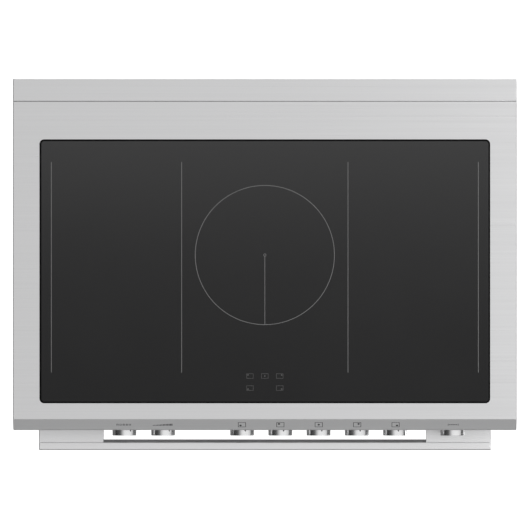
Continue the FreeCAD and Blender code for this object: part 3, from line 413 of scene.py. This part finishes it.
# Painted shade: a dark grey strip standing in for the shade and dark reflection on the handle's rear chamfer.
PAINTED_SHADE_STRIP = moulded("painted_shade_strip", (0.25, 0.25, 0.252), 0.6, specular=0.3)

NODE_MATERIALS = {
    "worktop": STEEL, "rear_trim": STEEL, "control_panel": STEEL, "door_outer_panel": STEEL,
    "drawer_front": STEEL, "handle_bar": HANDLE_STEEL_PAINTED_LIGHT, "handle_brackets": HANDLE_STEEL_PAINTED_LIGHT,
    "kick_plate": brushed_steel("kick_steel", color=(0.5, 0.5, 0.51), roughness=0.36),
    "cooktop_glass": GLASS, "glass_seal": SEAL,
    "coil_tray": ZINC, "electronics_tray": ZINC, "rear_panel": ZINC, "terminal_box": ZINC,
    "base_frame": ZINC,
    "side_induction_coils": litz_winding("litz_winding"), "coil_carriers": CARRIER,
    "inverter_boards": circuit_board("circuit_board"),
    "heat_sinks": cast_aluminium("extruded_aluminium"),
    "cooling_fan_housing": BLACK_PLASTIC,
    "cooling_fan": moulded("fan_plastic", (0.028, 0.028, 0.03), 0.42),
    "display_window": DISPLAY,
    "rotary_encoders": moulded("switch_plastic", (0.035, 0.035, 0.038), 0.45),
    "side_panel_left": SIDE_PAINT, "side_panel_right": SIDE_PAINT,
    "front_frame": BLACK_ENAMEL, "door_inner_panel": BLACK_ENAMEL,
    "leg_sleeves": LEG_STEEL,
    "body_screws": SCREW,
    "oven_liner": OVEN_ENAMEL, "convection_baffle": OVEN_ENAMEL,
    "oven_insulation": wool("mineral_wool"),
    "rack_guides": CHROME, "oven_rack_lower": CHROME, "oven_rack_upper": CHROME,
    "grill_element": HEATER,
    "convection_fan": plated("fan_steel", (0.42, 0.42, 0.43), 0.36),
    "convection_motor": zinc("motor_zinc", (0.36, 0.37, 0.38)),
    "oven_lamps": see_through("lamp_glass", (0.85, 0.85, 0.8), 0.25, 0.7),
    "door_gasket": woven("gasket_braid", (0.03, 0.03, 0.031)),
    "door_window_glass": see_through("door_glass", (0.03, 0.031, 0.034), 0.04, 0.55),
    "door_inner_glass": see_through("inner_glass", (0.75, 0.8, 0.78), 0.03, 0.92),
    "door_hinge_arms": HINGE, "door_hinge_brackets": HINGE,
    "drawer_box": painted("drawer_paint", (0.045, 0.045, 0.048), 0.4),
    "drawer_slides": plated("runner_plating", (0.5, 0.5, 0.51), 0.3),
    "drawer_runners": plated("fixed_runner_plating", (0.48, 0.48, 0.5), 0.34),
}
NODE_MATERIALS["centre_induction_coil"] = NODE_MATERIALS["side_induction_coils"]
for knob in KNOBS:
    NODE_MATERIALS[knob] = KNOB_METAL
for foot in [n for n in NODES if n.startswith("levelling_foot")]:
    NODE_MATERIALS[foot] = CHROME

# Small real edge radii, in millimetres, for folded sheet and machined parts.
EDGE_RADII = {
    "worktop": 0.5, "rear_trim": 0.5, "control_panel": 0.5, "door_outer_panel": 0.5,
    "drawer_front": 0.5, "handle_bar": 0.6, "handle_brackets": 0.6, "cooktop_glass": 0.3,
    "side_panel_left": 0.5, "side_panel_right": 0.5, "kick_plate": 0.4, "front_frame": 0.4,
    "display_window": 0.3, "drawer_box": 0.4, "door_inner_panel": 0.4,
}


def dress_cad_nodes():
    """Gives every CAD node its material, and folded edges a small radius."""
    for name, node in NODES.items():
        node.data.materials.clear()
        node.data.materials.append(NODE_MATERIALS[name])
        if name in EDGE_RADII:
            weld = node.modifiers.new("weld", "WELD")
            weld.merge_threshold = 1e-6
            bevel = node.modifiers.new("edge", "BEVEL")
            bevel.width = EDGE_RADII[name] * MM
            bevel.segments = 2
            bevel.limit_method = "ANGLE"
            bevel.angle_limit = math.radians(40)
            bevel.harden_normals = False
            bevel.use_clamp_overlap = True


# ------------------------------------------------------------------ mesh helpers
def piece(name, build, body, material):
    """A mesh piece: build fills a bmesh, then the piece gets its material and rides on a body."""
    mesh = bpy.data.meshes.new(name)
    work = bmesh.new()
    build(work)
    bmesh.ops.recalc_face_normals(work, faces=work.faces)
    work.to_mesh(mesh)
    work.free()
    mesh.materials.append(material)
    made = bpy.data.objects.new(name, mesh)
    bpy.context.scene.collection.objects.link(made)
    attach(made, body)
    return made


class Sheet:
    """A flat face in space to print on: a centre, a right-hand direction and an up direction."""

    def __init__(self, centre, right, up):
        self.centre = Vector(centre)
        self.right = Vector(right).normalized()
        self.up = Vector(up).normalized()
        self.out = self.right.cross(self.up)

    def at(self, across, up, out=0.0):
        return self.centre + self.right * across + self.up * up + self.out * out


INK = 0.04 * MM                 # thickness of a printed mark


def add_prism(work, sheet, outline, low=0.0, high=INK):
    """A closed prism from an outline given across and up on a sheet."""
    bottom = [work.verts.new(sheet.at(x, y, low)) for x, y in outline]
    top = [work.verts.new(sheet.at(x, y, high)) for x, y in outline]
    work.faces.new(bottom[::-1])
    work.faces.new(top)
    count = len(outline)
    for n in range(count):
        m = (n + 1) % count
        work.faces.new((bottom[n], bottom[m], top[m], top[n]))


def add_bar(work, sheet, x0, y0, x1, y1, high=INK):
    add_prism(work, sheet, [(x0, y0), (x1, y0), (x1, y1), (x0, y1)], 0.0, high)


def add_disc(work, sheet, x, y, radius, segments):
    turn = 2 * math.pi / segments
    outline = [
        (x + radius * math.cos(n * turn), y + radius * math.sin(n * turn)) for n in range(segments)
    ]
    add_prism(work, sheet, outline)


def add_ring(work, sheet, x, y, inner, outer, segments, high=INK):
    """A flat ring as a closed band."""
    rows = []
    for n in range(segments):
        a = 2 * math.pi * n / segments
        c, s = math.cos(a), math.sin(a)
        rows.append([
            work.verts.new(sheet.at(x + r * c, y + r * s, h))
            for r, h in ((inner, 0.0), (outer, 0.0), (outer, high), (inner, high))
        ])
    for n in range(segments):
        m = (n + 1) % segments
        for k in range(4):
            j = (k + 1) % 4
            work.faces.new((rows[n][k], rows[n][j], rows[m][j], rows[m][k]))


def add_frame(work, sheet, x0, y0, x1, y1, line, high=INK):
    """A rectangle's outline in a line of one width."""
    add_bar(work, sheet, x0, y0, x1, y0 + line, high)
    add_bar(work, sheet, x0, y1 - line, x1, y1, high)
    add_bar(work, sheet, x0, y0 + line, x0 + line, y1 - line, high)
    add_bar(work, sheet, x1 - line, y0 + line, x1, y1 - line, high)


# ------------------------------------------------------------------ prints on the glass
SIDE_LINE = 386.6 * MM          # outer zone lines, from the middle
INNER_LINE = 150.6 * MM
LINE_BACK = 150.3 * MM          # the lines' ends, from the back of the top
LINE_FRONT = 531.5 * MM
CIRCLE_DEPTH = 318.7 * MM
CIRCLE_RADIUS = 126.0 * MM
CIRCLE_DOT = 1.6 * MM           # inner radius of the small ring in the circle's middle
LINE = 1.1 * MM


def print_glass():
    """Zone lines, the middle zone's circle with its handle line, and the five small zone maps."""
    back = cad_high.y
    _, glass_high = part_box("cooktop_glass")
    sheet = Sheet((0, 0, glass_high.z), (1, 0, 0), (0, 1, 0))
    circle_y = back - CIRCLE_DEPTH
    half = LINE / 2

    def lines(work):
        for x in (-SIDE_LINE, -INNER_LINE, INNER_LINE, SIDE_LINE):
            add_bar(work, sheet, x - half, back - LINE_FRONT, x + half, back - LINE_BACK)
        add_ring(work, sheet, 0, circle_y, CIRCLE_RADIUS - half, CIRCLE_RADIUS + half, 160)
        add_ring(work, sheet, 0, circle_y, CIRCLE_DOT, CIRCLE_DOT + MM, 24)
        add_bar(work, sheet, -half, circle_y - CIRCLE_RADIUS + half, half, circle_y - CIRCLE_DOT - MM)

    piece("glass_zone_lines", lines, "chassis", INK_GREY)

    across, rear_row, front_row = 27.0 * MM, 537.8 * MM, 559.5 * MM
    places = {
        "left_rear": (-across, rear_row), "centre": (0.0, rear_row), "right_rear": (across, rear_row),
        "left_front": (-across, front_row), "right_front": (across, front_row),
    }

    def maps(work):
        for zone, (x, depth) in places.items():
            add_zone_map(work, sheet, x, back - depth, 12.7 * MM, 9.0 * MM, 0.6 * MM, 1.3 * MM, zone)

    piece("glass_zone_maps", maps, "chassis", INK_FAINT)


def add_zone_map(work, sheet, x, y, width, height, line, dot, zone):
    """A little plan of the cooktop: an outline with a dot where the zone lies."""
    add_frame(work, sheet, x - width / 2, y - height / 2, x + width / 2, y + height / 2, line)
    across, up = ZONE_SPOTS[zone]
    add_disc(
        work, sheet, x + across * (width / 2 - 2.2 * dot), y + up * (height / 2 - 2.0 * dot), dot, 20
    )


# ------------------------------------------------------------------ prints on the sloped edge
NOSE_DROP = 19.8 * MM           # the slope's run, forwards and down


def slope_sheet():
    """The 45 degree edge above the knobs, seen square on."""
    panel_low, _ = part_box("control_panel")
    nose_y = panel_low.y
    centre = (0, nose_y + NOSE_DROP / 2, WORKTOP_Z - NOSE_DROP / 2)
    return Sheet(centre, (1, 0, 0), (0, 1, 1))


def knob_x(name):
    low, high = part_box(name)
    return (low.x + high.x) / 2


def add_function_marks(work, sheet, x):
    """Five plain oven pictograms: top heat, bottom heat, both, fan and grill."""
    size, pitch, line = 4.0 * MM, 5.6 * MM, 0.7 * MM
    half = size / 2
    for n in range(5):
        cx = x + (n - 2) * pitch
        add_frame(work, sheet, cx - half, -half, cx + half, half, 0.65 * MM)
        if n in (0, 2):
            add_bar(work, sheet, cx - 1.1 * MM, half - 1.5 * MM, cx + 1.1 * MM, half - 1.5 * MM + line)
        if n in (1, 2):
            add_bar(work, sheet, cx - 1.1 * MM, -half + 0.8 * MM, cx + 1.1 * MM, -half + 0.8 * MM + line)
        if n == 3:
            add_ring(work, sheet, cx, 0, 0.5 * MM, 1.1 * MM, 20)
        if n == 4:
            for k in (-1, 0, 1):
                add_disc(work, sheet, cx + k * MM, 0, 0.4 * MM, 12)


def add_heat_wedge(work, sheet, x):
    """A rising row of bars: little heat to full heat."""
    count, pitch = 14, 2.6 * MM
    for n in range(count):
        cx = x + (n - (count - 1) / 2) * pitch
        tall = (1.6 + 3.4 * n / (count - 1)) * MM
        add_bar(work, sheet, cx - 0.9 * MM, -2.5 * MM, cx + 0.9 * MM, -2.5 * MM + tall)


def add_time_marks(work, sheet, x):
    """A row of dots with a longer mark at each end: a span of time."""
    reach, half, tall = 9.0 * MM, 0.5 * MM, 2.4 * MM
    for side in (-1, 1):
        middle = x + side * reach
        add_bar(work, sheet, middle - half, -tall, middle + half, tall)
    for n in range(-2, 3):
        add_disc(work, sheet, x + n * 3.0 * MM, 0, 1.2 * MM, 16)


def print_slope():
    sheet = slope_sheet()

    def marks(work):
        for knob in ZONE_KNOBS:
            zone = knob.replace("knob_zone_", "")
            add_zone_map(work, sheet, knob_x(knob), 0, 14.3 * MM, 12.4 * MM, 1.0 * MM, 2.1 * MM, zone)
        add_function_marks(work, sheet, knob_x("knob_oven_function"))
        add_heat_wedge(work, sheet, knob_x("knob_oven_temperature"))
        add_time_marks(work, sheet, knob_x("knob_timer"))

    piece("control_marks", marks, "chassis", INK_DARK)


# ------------------------------------------------------------------ knobs
KNOB_AXIS_Z = 829.0 * MM
KNOB_LENGTH = 28.0 * MM         # rim to back edge, without the stem
KNOB_R_FRONT, KNOB_R_BACK = 21.5 * MM, 22.0 * MM
KNOB_CLEARANCE = 1.0 * MM       # between a knob and the panel
# Where each index mark stands when off, and how far the knob turns: degrees clockwise from up.
KNOB_START = {name: 16 for name in ZONE_KNOBS}
KNOB_START.update(knob_oven_function=32, knob_oven_temperature=32, knob_timer=210)
KNOB_SPAN = {name: 285 for name in ZONE_KNOBS}
KNOB_SPAN.update(knob_oven_function=320, knob_oven_temperature=270, knob_timer=300)


def knob_face_sheet(x, y):
    return Sheet((x, y, KNOB_AXIS_Z), (1, 0, 0), (0, 0, 1))


def dress_knob(name):
    """The index mark along a knob's side, and a thin printed line on its face."""
    low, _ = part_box(name)
    x = knob_x(name)
    front, back = low.y, low.y + KNOB_LENGTH
    angle = math.radians(KNOB_START[name])

    def radius_at(y):
        return KNOB_R_FRONT + (KNOB_R_BACK - KNOB_R_FRONT) * (y - front) / KNOB_LENGTH

    def mark(work):
        proud, sink = 0.06 * MM, 0.3 * MM
        tip_y, base_y, half = front + 7.2 * MM, back - 3.5 * MM, 1.7 * MM
        taper = 2.4 * MM
        rows = []
        for y, share in ((tip_y, 0.15), (tip_y + taper, 0.75), (tip_y + 2 * taper, 1.0), (base_y, 1.0)):
            r = radius_at(y)
            row = []
            for side, depth in ((-1, -sink), (1, -sink), (1, proud), (-1, proud)):
                a = angle + side * share * half / r
                row.append(work.verts.new(
                    (x + (r + depth) * math.sin(a), y, KNOB_AXIS_Z + (r + depth) * math.cos(a))
                ))
            rows.append(row)
        for first, second in zip(rows, rows[1:]):
            for k in range(4):
                j = (k + 1) % 4
                work.faces.new((first[k], first[j], second[j], second[k]))
        work.faces.new(rows[0])
        work.faces.new(rows[-1][::-1])

    piece(name + "_index", mark, name, INK_DARK)

    def face_line(work):
        turned = Sheet(
            (x, front + 0.1 * MM, KNOB_AXIS_Z),
            (math.cos(angle), 0, -math.sin(angle)), (math.sin(angle), 0, math.cos(angle)),
        )
        half, inner, outer = 0.7 * MM, 17.3 * MM, 19.0 * MM
        outline = [(-half, inner), (half, inner), (half, outer), (-half, outer)]
        add_prism(work, turned, outline, -0.25 * MM, 0.14 * MM)

    piece(name + "_face_mark", face_line, name, INK_DARK)


def dress_knobs():
    for name in KNOBS:
        dress_knob(name)


# ------------------------------------------------------------------ control panel face
def panel_face_y():
    """The face behind the knobs: just behind the knobs' rear edges."""
    low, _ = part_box("knob_timer")
    return low.y + KNOB_LENGTH + KNOB_CLEARANCE


DIAL_MARKS = {name: [str(n) for n in range(10)] for name in ZONE_KNOBS}
DIAL_MARKS["knob_oven_function"] = ["0"] + [""] * 8
DIAL_MARKS["knob_oven_temperature"] = ["0", "50", "100", "150", "200", "250"]
DIAL_MARKS["knob_timer"] = ["0", "30", "60", "90", "120"]


def add_number(work, sheet, text, x, y, size):
    """A printed number, centred on a sheet's point."""
    curve = bpy.data.curves.new("number", "FONT")
    curve.body = text
    curve.size = size
    curve.extrude = INK / 2
    curve.align_x, curve.align_y = "CENTER", "CENTER"
    curve.resolution_u = 3
    holder = bpy.data.objects.new("number", curve)
    mesh = bpy.data.meshes.new_from_object(holder)
    corner = sheet.at(x, y, INK / 2)
    mesh.transform(Matrix((
        (sheet.right.x, sheet.up.x, sheet.out.x, corner.x),
        (sheet.right.y, sheet.up.y, sheet.out.y, corner.y),
        (sheet.right.z, sheet.up.z, sheet.out.z, corner.z),
        (0, 0, 0, 1),
    )))
    work.from_mesh(mesh)
    bpy.data.objects.remove(holder)
    bpy.data.curves.remove(curve)
    bpy.data.meshes.remove(mesh)


def print_dials():
    """Dial scales on the panel: a dot for each step, growing with it, and its number outside."""
    y = panel_face_y()

    def on_each_step(draw):
        for name in KNOBS:
            sheet = knob_face_sheet(knob_x(name), y)
            marks = DIAL_MARKS[name]
            for n, text in enumerate(marks):
                share = n / (len(marks) - 1)
                a = math.radians(KNOB_START[name] + KNOB_SPAN[name] * share)
                draw(sheet, math.sin(a), math.cos(a), share, text)

    def dots(work):
        reach = 24.4 * MM
        on_each_step(lambda sheet, x, z, share, _: add_disc(
            work, sheet, reach * x, reach * z, (0.4 + 0.4 * share) * MM, 14
        ))

    def numbers(work):
        reach = 29.0 * MM
        on_each_step(lambda sheet, x, z, _, text: text and add_number(
            work, sheet, text, reach * x, reach * z, 5.2 * MM
        ))

    piece("dial_dots", dots, "chassis", INK_DARK)
    piece("dial_numbers", numbers, "chassis", INK_DARK)


def add_bezels():
    """A thin black collar on the panel behind each knob."""
    y = panel_face_y()

    def collars(work):
        for name in KNOBS:
            sheet = knob_face_sheet(knob_x(name), y)
            add_ring(work, sheet, 0, 0, 18.0 * MM, 22.8 * MM, 64, high=0.55 * MM)

    piece("knob_collars", collars, "chassis", BLACK_PLASTIC)


SEGMENTS = {
    "0": "abcdef", "1": "bc", "2": "abdeg", "3": "abcdg", "4": "bcfg",
    "5": "acdfg", "6": "acdefg", "7": "abc", "8": "abcdefg", "9": "abcdfg",
}


def add_digit(work, sheet, x, digit, width, height, line):
    """One seven-segment numeral."""
    half_w, half_h = width / 2, height / 2
    bars = {
        "a": (-half_w, half_h - line, half_w, half_h),
        "d": (-half_w, -half_h, half_w, -half_h + line),
        "g": (-half_w, -line / 2, half_w, line / 2),
        "f": (-half_w, line * 0.7, -half_w + line, half_h - line * 1.2),
        "b": (half_w - line, line * 0.7, half_w, half_h - line * 1.2),
        "e": (-half_w, -half_h + line * 1.2, -half_w + line, -line * 0.7),
        "c": (half_w - line, -half_h + line * 1.2, half_w, -line * 0.7),
    }
    for key in SEGMENTS[digit]:
        x0, y0, x1, y1 = bars[key]
        add_bar(work, sheet, x + x0, y0, x + x1, y1)


def light_display():
    """A plain clock reading on the display's face."""
    low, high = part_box("display_window")
    sheet = Sheet(((low.x + high.x) / 2, low.y, (low.z + high.z) / 2), (1, 0, 0), (0, 0, 1))

    def digits(work):
        for n, digit in enumerate("1200"):
            x = (n - 1.5) * 11.5 * MM + (1.4 * MM if n > 1 else -1.4 * MM)
            add_digit(work, sheet, x, digit, 6.4 * MM, 12.5 * MM, 1.1 * MM)
        for up in (-2.4 * MM, 2.4 * MM):
            add_disc(work, sheet, 0, up, 0.7 * MM, 14)

    piece("display_digits", digits, "chassis", DIGIT)


# ------------------------------------------------------------------ door and oven detail
HANDLE_CHAMFER = 5.4 * MM
BRACKET_WIDTH = 118.0 * MM


def inlay_handle():
    """Painted shade: a dark strip on the bar's rear top edge, between the brackets, standing in for the shade
    and dark reflection there.
    """
    _, bar_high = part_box("handle_bar")
    _, bracket_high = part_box("handle_brackets")
    reach = bracket_high.x - BRACKET_WIDTH - 0.6 * MM
    middle = (0, bar_high.y - HANDLE_CHAMFER / 2, bar_high.z - HANDLE_CHAMFER / 2)
    sheet = Sheet(middle, (-1, 0, 0), (0, -1, 1))
    half = HANDLE_CHAMFER * math.sqrt(0.5) - 0.25 * MM

    def strip(work):
        outline = [(-reach, -half), (reach, -half), (reach, half), (-reach, half)]
        add_prism(work, sheet, outline, -0.2 * MM, 0.12 * MM)

    # The painted shade strip rides on the door with the handle.
    piece("handle_painted_shade_strip", strip, "oven_door", PAINTED_SHADE_STRIP)


OVEN_CEILING_Z = 700.0 * MM


def add_lamp_collars():
    """A bright ring round each oven lamp."""
    low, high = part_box("oven_lamps")
    lamp_r = (high.z - low.z) / 2
    lamp_z = (high.z + low.z) / 2

    def collars(work):
        for x in (low.x + lamp_r, high.x - lamp_r):
            sheet = Sheet((x, high.y, lamp_z), (1, 0, 0), (0, 0, 1))
            add_ring(work, sheet, 0, 0, lamp_r + 0.3 * MM, lamp_r + 4.5 * MM, 48, high=1.6 * MM)

    piece("lamp_collars", collars, "chassis", CHROME)


def add_baffle_screws():
    """A screw in each corner of the fan baffle."""
    low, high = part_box("convection_baffle")
    inset = 20 * MM
    corners = [
        (side * (high.x - inset), low.y, z)
        for side in (-1, 1) for z in (low.z + inset, high.z - inset)
    ]
    add_screws("baffle_screws", corners, (0, -1, 0), 4.2 * MM, "chassis", SCREW)


def add_grill_clips():
    """Four hangers under the oven's ceiling that carry the grill element."""
    low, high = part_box("grill_element")
    tube_r = (high.z - low.z) / 2
    tube_z = (high.z + low.z) / 2
    reach, half_width = 45 * MM, 5 * MM
    top, bottom = OVEN_CEILING_Z - tube_z, -tube_r - 1 * MM

    def clips(work):
        for share in (0.33, 0.62):
            y = high.y + (low.y - high.y) * share
            for x in (-0.12, 0.12):
                upright = Sheet((x, y, tube_z), (0, 1, 0), (0, 0, 1))
                outline = [(-half_width, bottom), (half_width, bottom), (half_width, top), (-half_width, top)]
                for inner, outer in ((-reach, -reach + 1.5 * MM), (reach - 1.5 * MM, reach)):
                    add_prism(work, upright, outline, inner, outer)
                bed = Sheet((x, y, tube_z - tube_r - 1.2 * MM), (1, 0, 0), (0, 1, 0))
                add_bar(work, bed, -reach, -half_width, reach, half_width, 1.2 * MM)

    piece("grill_clips", clips, "chassis", HINGE)


def dress_back():
    """Screws on the terminal box's cover, and the earth bonding screw beside it."""
    low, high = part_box("terminal_box")
    inset = 8 * MM
    corners = [
        (x, high.y, z)
        for x in (low.x + inset, high.x - inset) for z in (low.z + inset, high.z - inset)
    ]
    earth = (high.x + 30 * MM, high.y, (low.z + high.z) / 2)
    add_screws("terminal_screws", corners + [earth], (0, 1, 0), 3.4 * MM, "chassis", SCREW)


def dress_door():
    """The dark print round the door glass, and screws on the door's inner panel."""
    low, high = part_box("door_window_glass")
    centre = ((low.x + high.x) / 2, low.y, (low.z + high.z) / 2)
    sheet = Sheet(centre, (1, 0, 0), (0, 0, 1))
    hidden = 16 * MM                # how far the glass reaches behind the panel
    half_w, half_h = (high.x - low.x) / 2 - hidden, (high.z - low.z) / 2 - hidden

    def border(work):
        add_frame(work, sheet, -half_w, -half_h, half_w, half_h, 34 * MM, 0.03 * MM)

    piece("door_glass_border", border, "oven_door", GLASS_BORDER)

    _, inner_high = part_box("door_inner_panel")
    screws = [
        (side * x, inner_high.y, z)
        for side in (-1, 1) for x in (0.15, 0.40) for z in (0.30, 0.75)
    ]
    add_screws("door_panel_screws", screws, (0, 1, 0), 3.4 * MM, "oven_door", SCREW)


def screw_frame(axis):
    """Right and up directions for a screw head that faces along an axis."""
    out = Vector(axis).normalized()
    up = Vector((0, 0, 1)) if abs(out.z) < 0.9 else Vector((0, 1, 0))
    return up.cross(out), up


def add_screws(name, places, axis, radius, body, material):
    """Domed screw heads with a cross recess, standing on a face."""
    right, up = screw_frame(axis)

    def heads(work):
        for place in places:
            sheet = Sheet(place, right, up)
            add_screw_head(work, sheet, radius)

    piece(name, heads, body, material)


def add_screw_head(work, sheet, radius):
    """A dome in rings round a cross-shaped recess."""
    height, segments = radius * 0.55, 24
    rings = []
    for share, lift in ((1.0, 0.0), (1.0, 0.35), (0.9, 0.72), (0.72, 0.93), (0.5, 1.0)):
        ring = []
        for n in range(segments):
            a = 2 * math.pi * n / segments
            ring.append(work.verts.new(
                sheet.at(radius * share * math.cos(a), radius * share * math.sin(a), height * lift)
            ))
        rings.append(ring)
    cross, floor = [], []
    for n in range(segments):
        a = 2 * math.pi * n / segments
        arm = 0.40 if n % 6 == 0 else (0.30 if n % 6 in (1, 5) else 0.13)
        x, y = radius * arm * math.cos(a), radius * arm * math.sin(a)
        cross.append(work.verts.new(sheet.at(x, y, height)))
        floor.append(work.verts.new(sheet.at(x * 0.7, y * 0.7, height * 0.35)))
    rings += [cross, floor]
    for first, second in zip(rings, rings[1:]):
        for n in range(segments):
            m = (n + 1) % segments
            work.faces.new((first[n], first[m], second[m], second[n]))
    work.faces.new(rings[0][::-1])
    work.faces.new(floor)


# ------------------------------------------------------------------ stage, light and camera
def build_stage():
    """A plain pale floor that the camera sees as near white."""
    bpy.ops.mesh.primitive_plane_add(size=60, location=(0, 0, 0))
    floor = bpy.context.object
    floor.name = "stage_floor"
    made = Surface("stage_floor", (0.12, 0.12, 0.12), 0.9, specular=0.0)
    made.tint(made.spread(made.noise(made.place(), 0.6), 0.0, 1.0), 0.01)
    paths = made.node("ShaderNodeLightPath")
    made.shader.inputs["Emission Color"].default_value = (1, 1, 1, 1)
    made.link(paths.outputs["Is Camera Ray"], made.shader.inputs["Emission Strength"])
    floor.data.materials.append(made.material)
    return floor


def build_world():
    """A soft studio: bright overhead, dimmer at the horizon, lighter to the right than to the left."""
    world = bpy.data.worlds.new("studio")
    bpy.context.scene.world = world
    world.use_nodes = True
    nodes, links = world.node_tree.nodes, world.node_tree.links
    background = nodes["Background"]
    coords = nodes.new("ShaderNodeTexCoord")
    split = nodes.new("ShaderNodeSeparateXYZ")
    links.new(coords.outputs["Generated"], split.inputs["Vector"])

    def ramp(source, stops):
        made = nodes.new("ShaderNodeValToRGB")
        links.new(source, made.inputs["Fac"])
        while len(made.color_ramp.elements) < len(stops):
            made.color_ramp.elements.new(0.5)
        for element, (place, value) in zip(made.color_ramp.elements, stops):
            element.position = place
            element.color = (value, value, value, 1)
        return made.outputs["Color"]

    def shifted(source):
        made = nodes.new("ShaderNodeMath")
        made.operation = "MULTIPLY_ADD"
        made.inputs[1].default_value = 0.5
        made.inputs[2].default_value = 0.5
        links.new(source, made.inputs[0])
        return made.outputs["Value"]

    def multiplied(first, second):
        made = nodes.new("ShaderNodeMix")
        made.data_type = "RGBA"
        made.blend_type = "MULTIPLY"
        made.inputs["Factor"].default_value = 1.0
        links.new(first, made.inputs[6])
        links.new(second, made.inputs[7])
        return made.outputs[2]

    height = ramp(shifted(split.outputs["Z"]), WORLD_HEIGHT)
    across = ramp(shifted(split.outputs["X"]), WORLD_ACROSS)
    along = ramp(shifted(split.outputs["Y"]), WORLD_ALONG)
    light = multiplied(multiplied(height, across), along)
    paths = nodes.new("ShaderNodeLightPath")
    seen = nodes.new("ShaderNodeMix")
    seen.data_type = "RGBA"
    links.new(paths.outputs["Is Camera Ray"], seen.inputs["Factor"])
    links.new(light, seen.inputs[6])
    seen.inputs[7].default_value = (1, 1, 1, 1)
    links.new(seen.outputs[2], background.inputs["Color"])
    background.inputs["Strength"].default_value = 1.0


def add_softbox(name, place, target, size, power):
    light = bpy.data.lights.new(name, "AREA")
    light.shape = "RECTANGLE"
    light.size, light.size_y = size
    light.energy = power
    made = bpy.data.objects.new(name, light)
    bpy.context.scene.collection.objects.link(made)
    made.location = place
    made.rotation_euler = (Vector(target) - Vector(place)).to_track_quat("-Z", "Y").to_euler()
    return made


def light_only(light, receivers):
    """Limits a light to some objects."""
    chosen = bpy.data.collections.new(light.name + "_receivers")
    for receiver in receivers:
        chosen.objects.link(receiver)
    light.light_linking.receiver_collection = chosen
    return chosen


def light_all_but(light, left_out):
    """Keeps a light off some objects."""
    for member in light_only(light, left_out).collection_objects:
        member.light_linking.link_state = "EXCLUDE"


def build_lights(floor):
    knobs = [NODES[name] for name in KNOBS]
    kept_plain = [NODES[name] for name in SEEN_FROM_ABOVE] + [bpy.data.objects["handle_painted_shade_strip"], floor]
    right = add_softbox("softbox_right", (2.4, 0.3, 3.0), (0.2, 0, 0.9), (1.4, 2.4), 66)
    light_all_but(right, knobs + [floor])
    add_softbox("softbox_rear", (0.0, 2.4, 2.6), (0, 0.2, 0.9), (2.6, 1.2), 20)
    for name, y, power in (("softbox_front_floor", -2.7, 240), ("softbox_rear_floor", 2.6, 120)):
        light_only(add_softbox(name, (0.0, y, 1.6), (0, y, 0), (5.0, 3.6), power), [floor])
    left = add_softbox("softbox_left", (-3.2, -0.4, 1.5), (0, 0, 0.5), (2.2, 2.2), 70)
    light_all_but(left, kept_plain)
    front = add_softbox("softbox_front", (0.9, -3.4, 1.9), (0, 0, 0.5), (2.6, 2.0), 40)
    light_all_but(front, kept_plain)
    over_glass = add_softbox("softbox_over_glass", (0.0, 0.80, 2.6), (0, 0.80, 0.9), (3.0, 1.2), 34)
    light_only(over_glass, [NODES["cooktop_glass"]])


def build_camera():
    """Straight down from far off, so that the plan is nearly free of perspective."""
    data = bpy.data.cameras.new("camera")
    data.type = "PERSP"
    data.sensor_width = 36.0
    data.lens = CAMERA_LENS
    data.clip_end = 100.0
    camera = bpy.data.objects.new("camera", data)
    bpy.context.scene.collection.objects.link(camera)
    camera.location = (CAMERA_X, CAMERA_Y, WORKTOP_Z + CAMERA_DISTANCE)
    bpy.context.scene.camera = camera


build_camera()
dress_cad_nodes()
print_glass()
print_slope()
dress_knobs()
add_bezels()
print_dials()
light_display()
dress_door()
inlay_handle()
add_lamp_collars()
add_baffle_screws()
add_grill_clips()
dress_back()
stage_floor = build_stage()
build_world()
build_lights(stage_floor)
bpy.context.scene.view_settings.view_transform = "Standard"
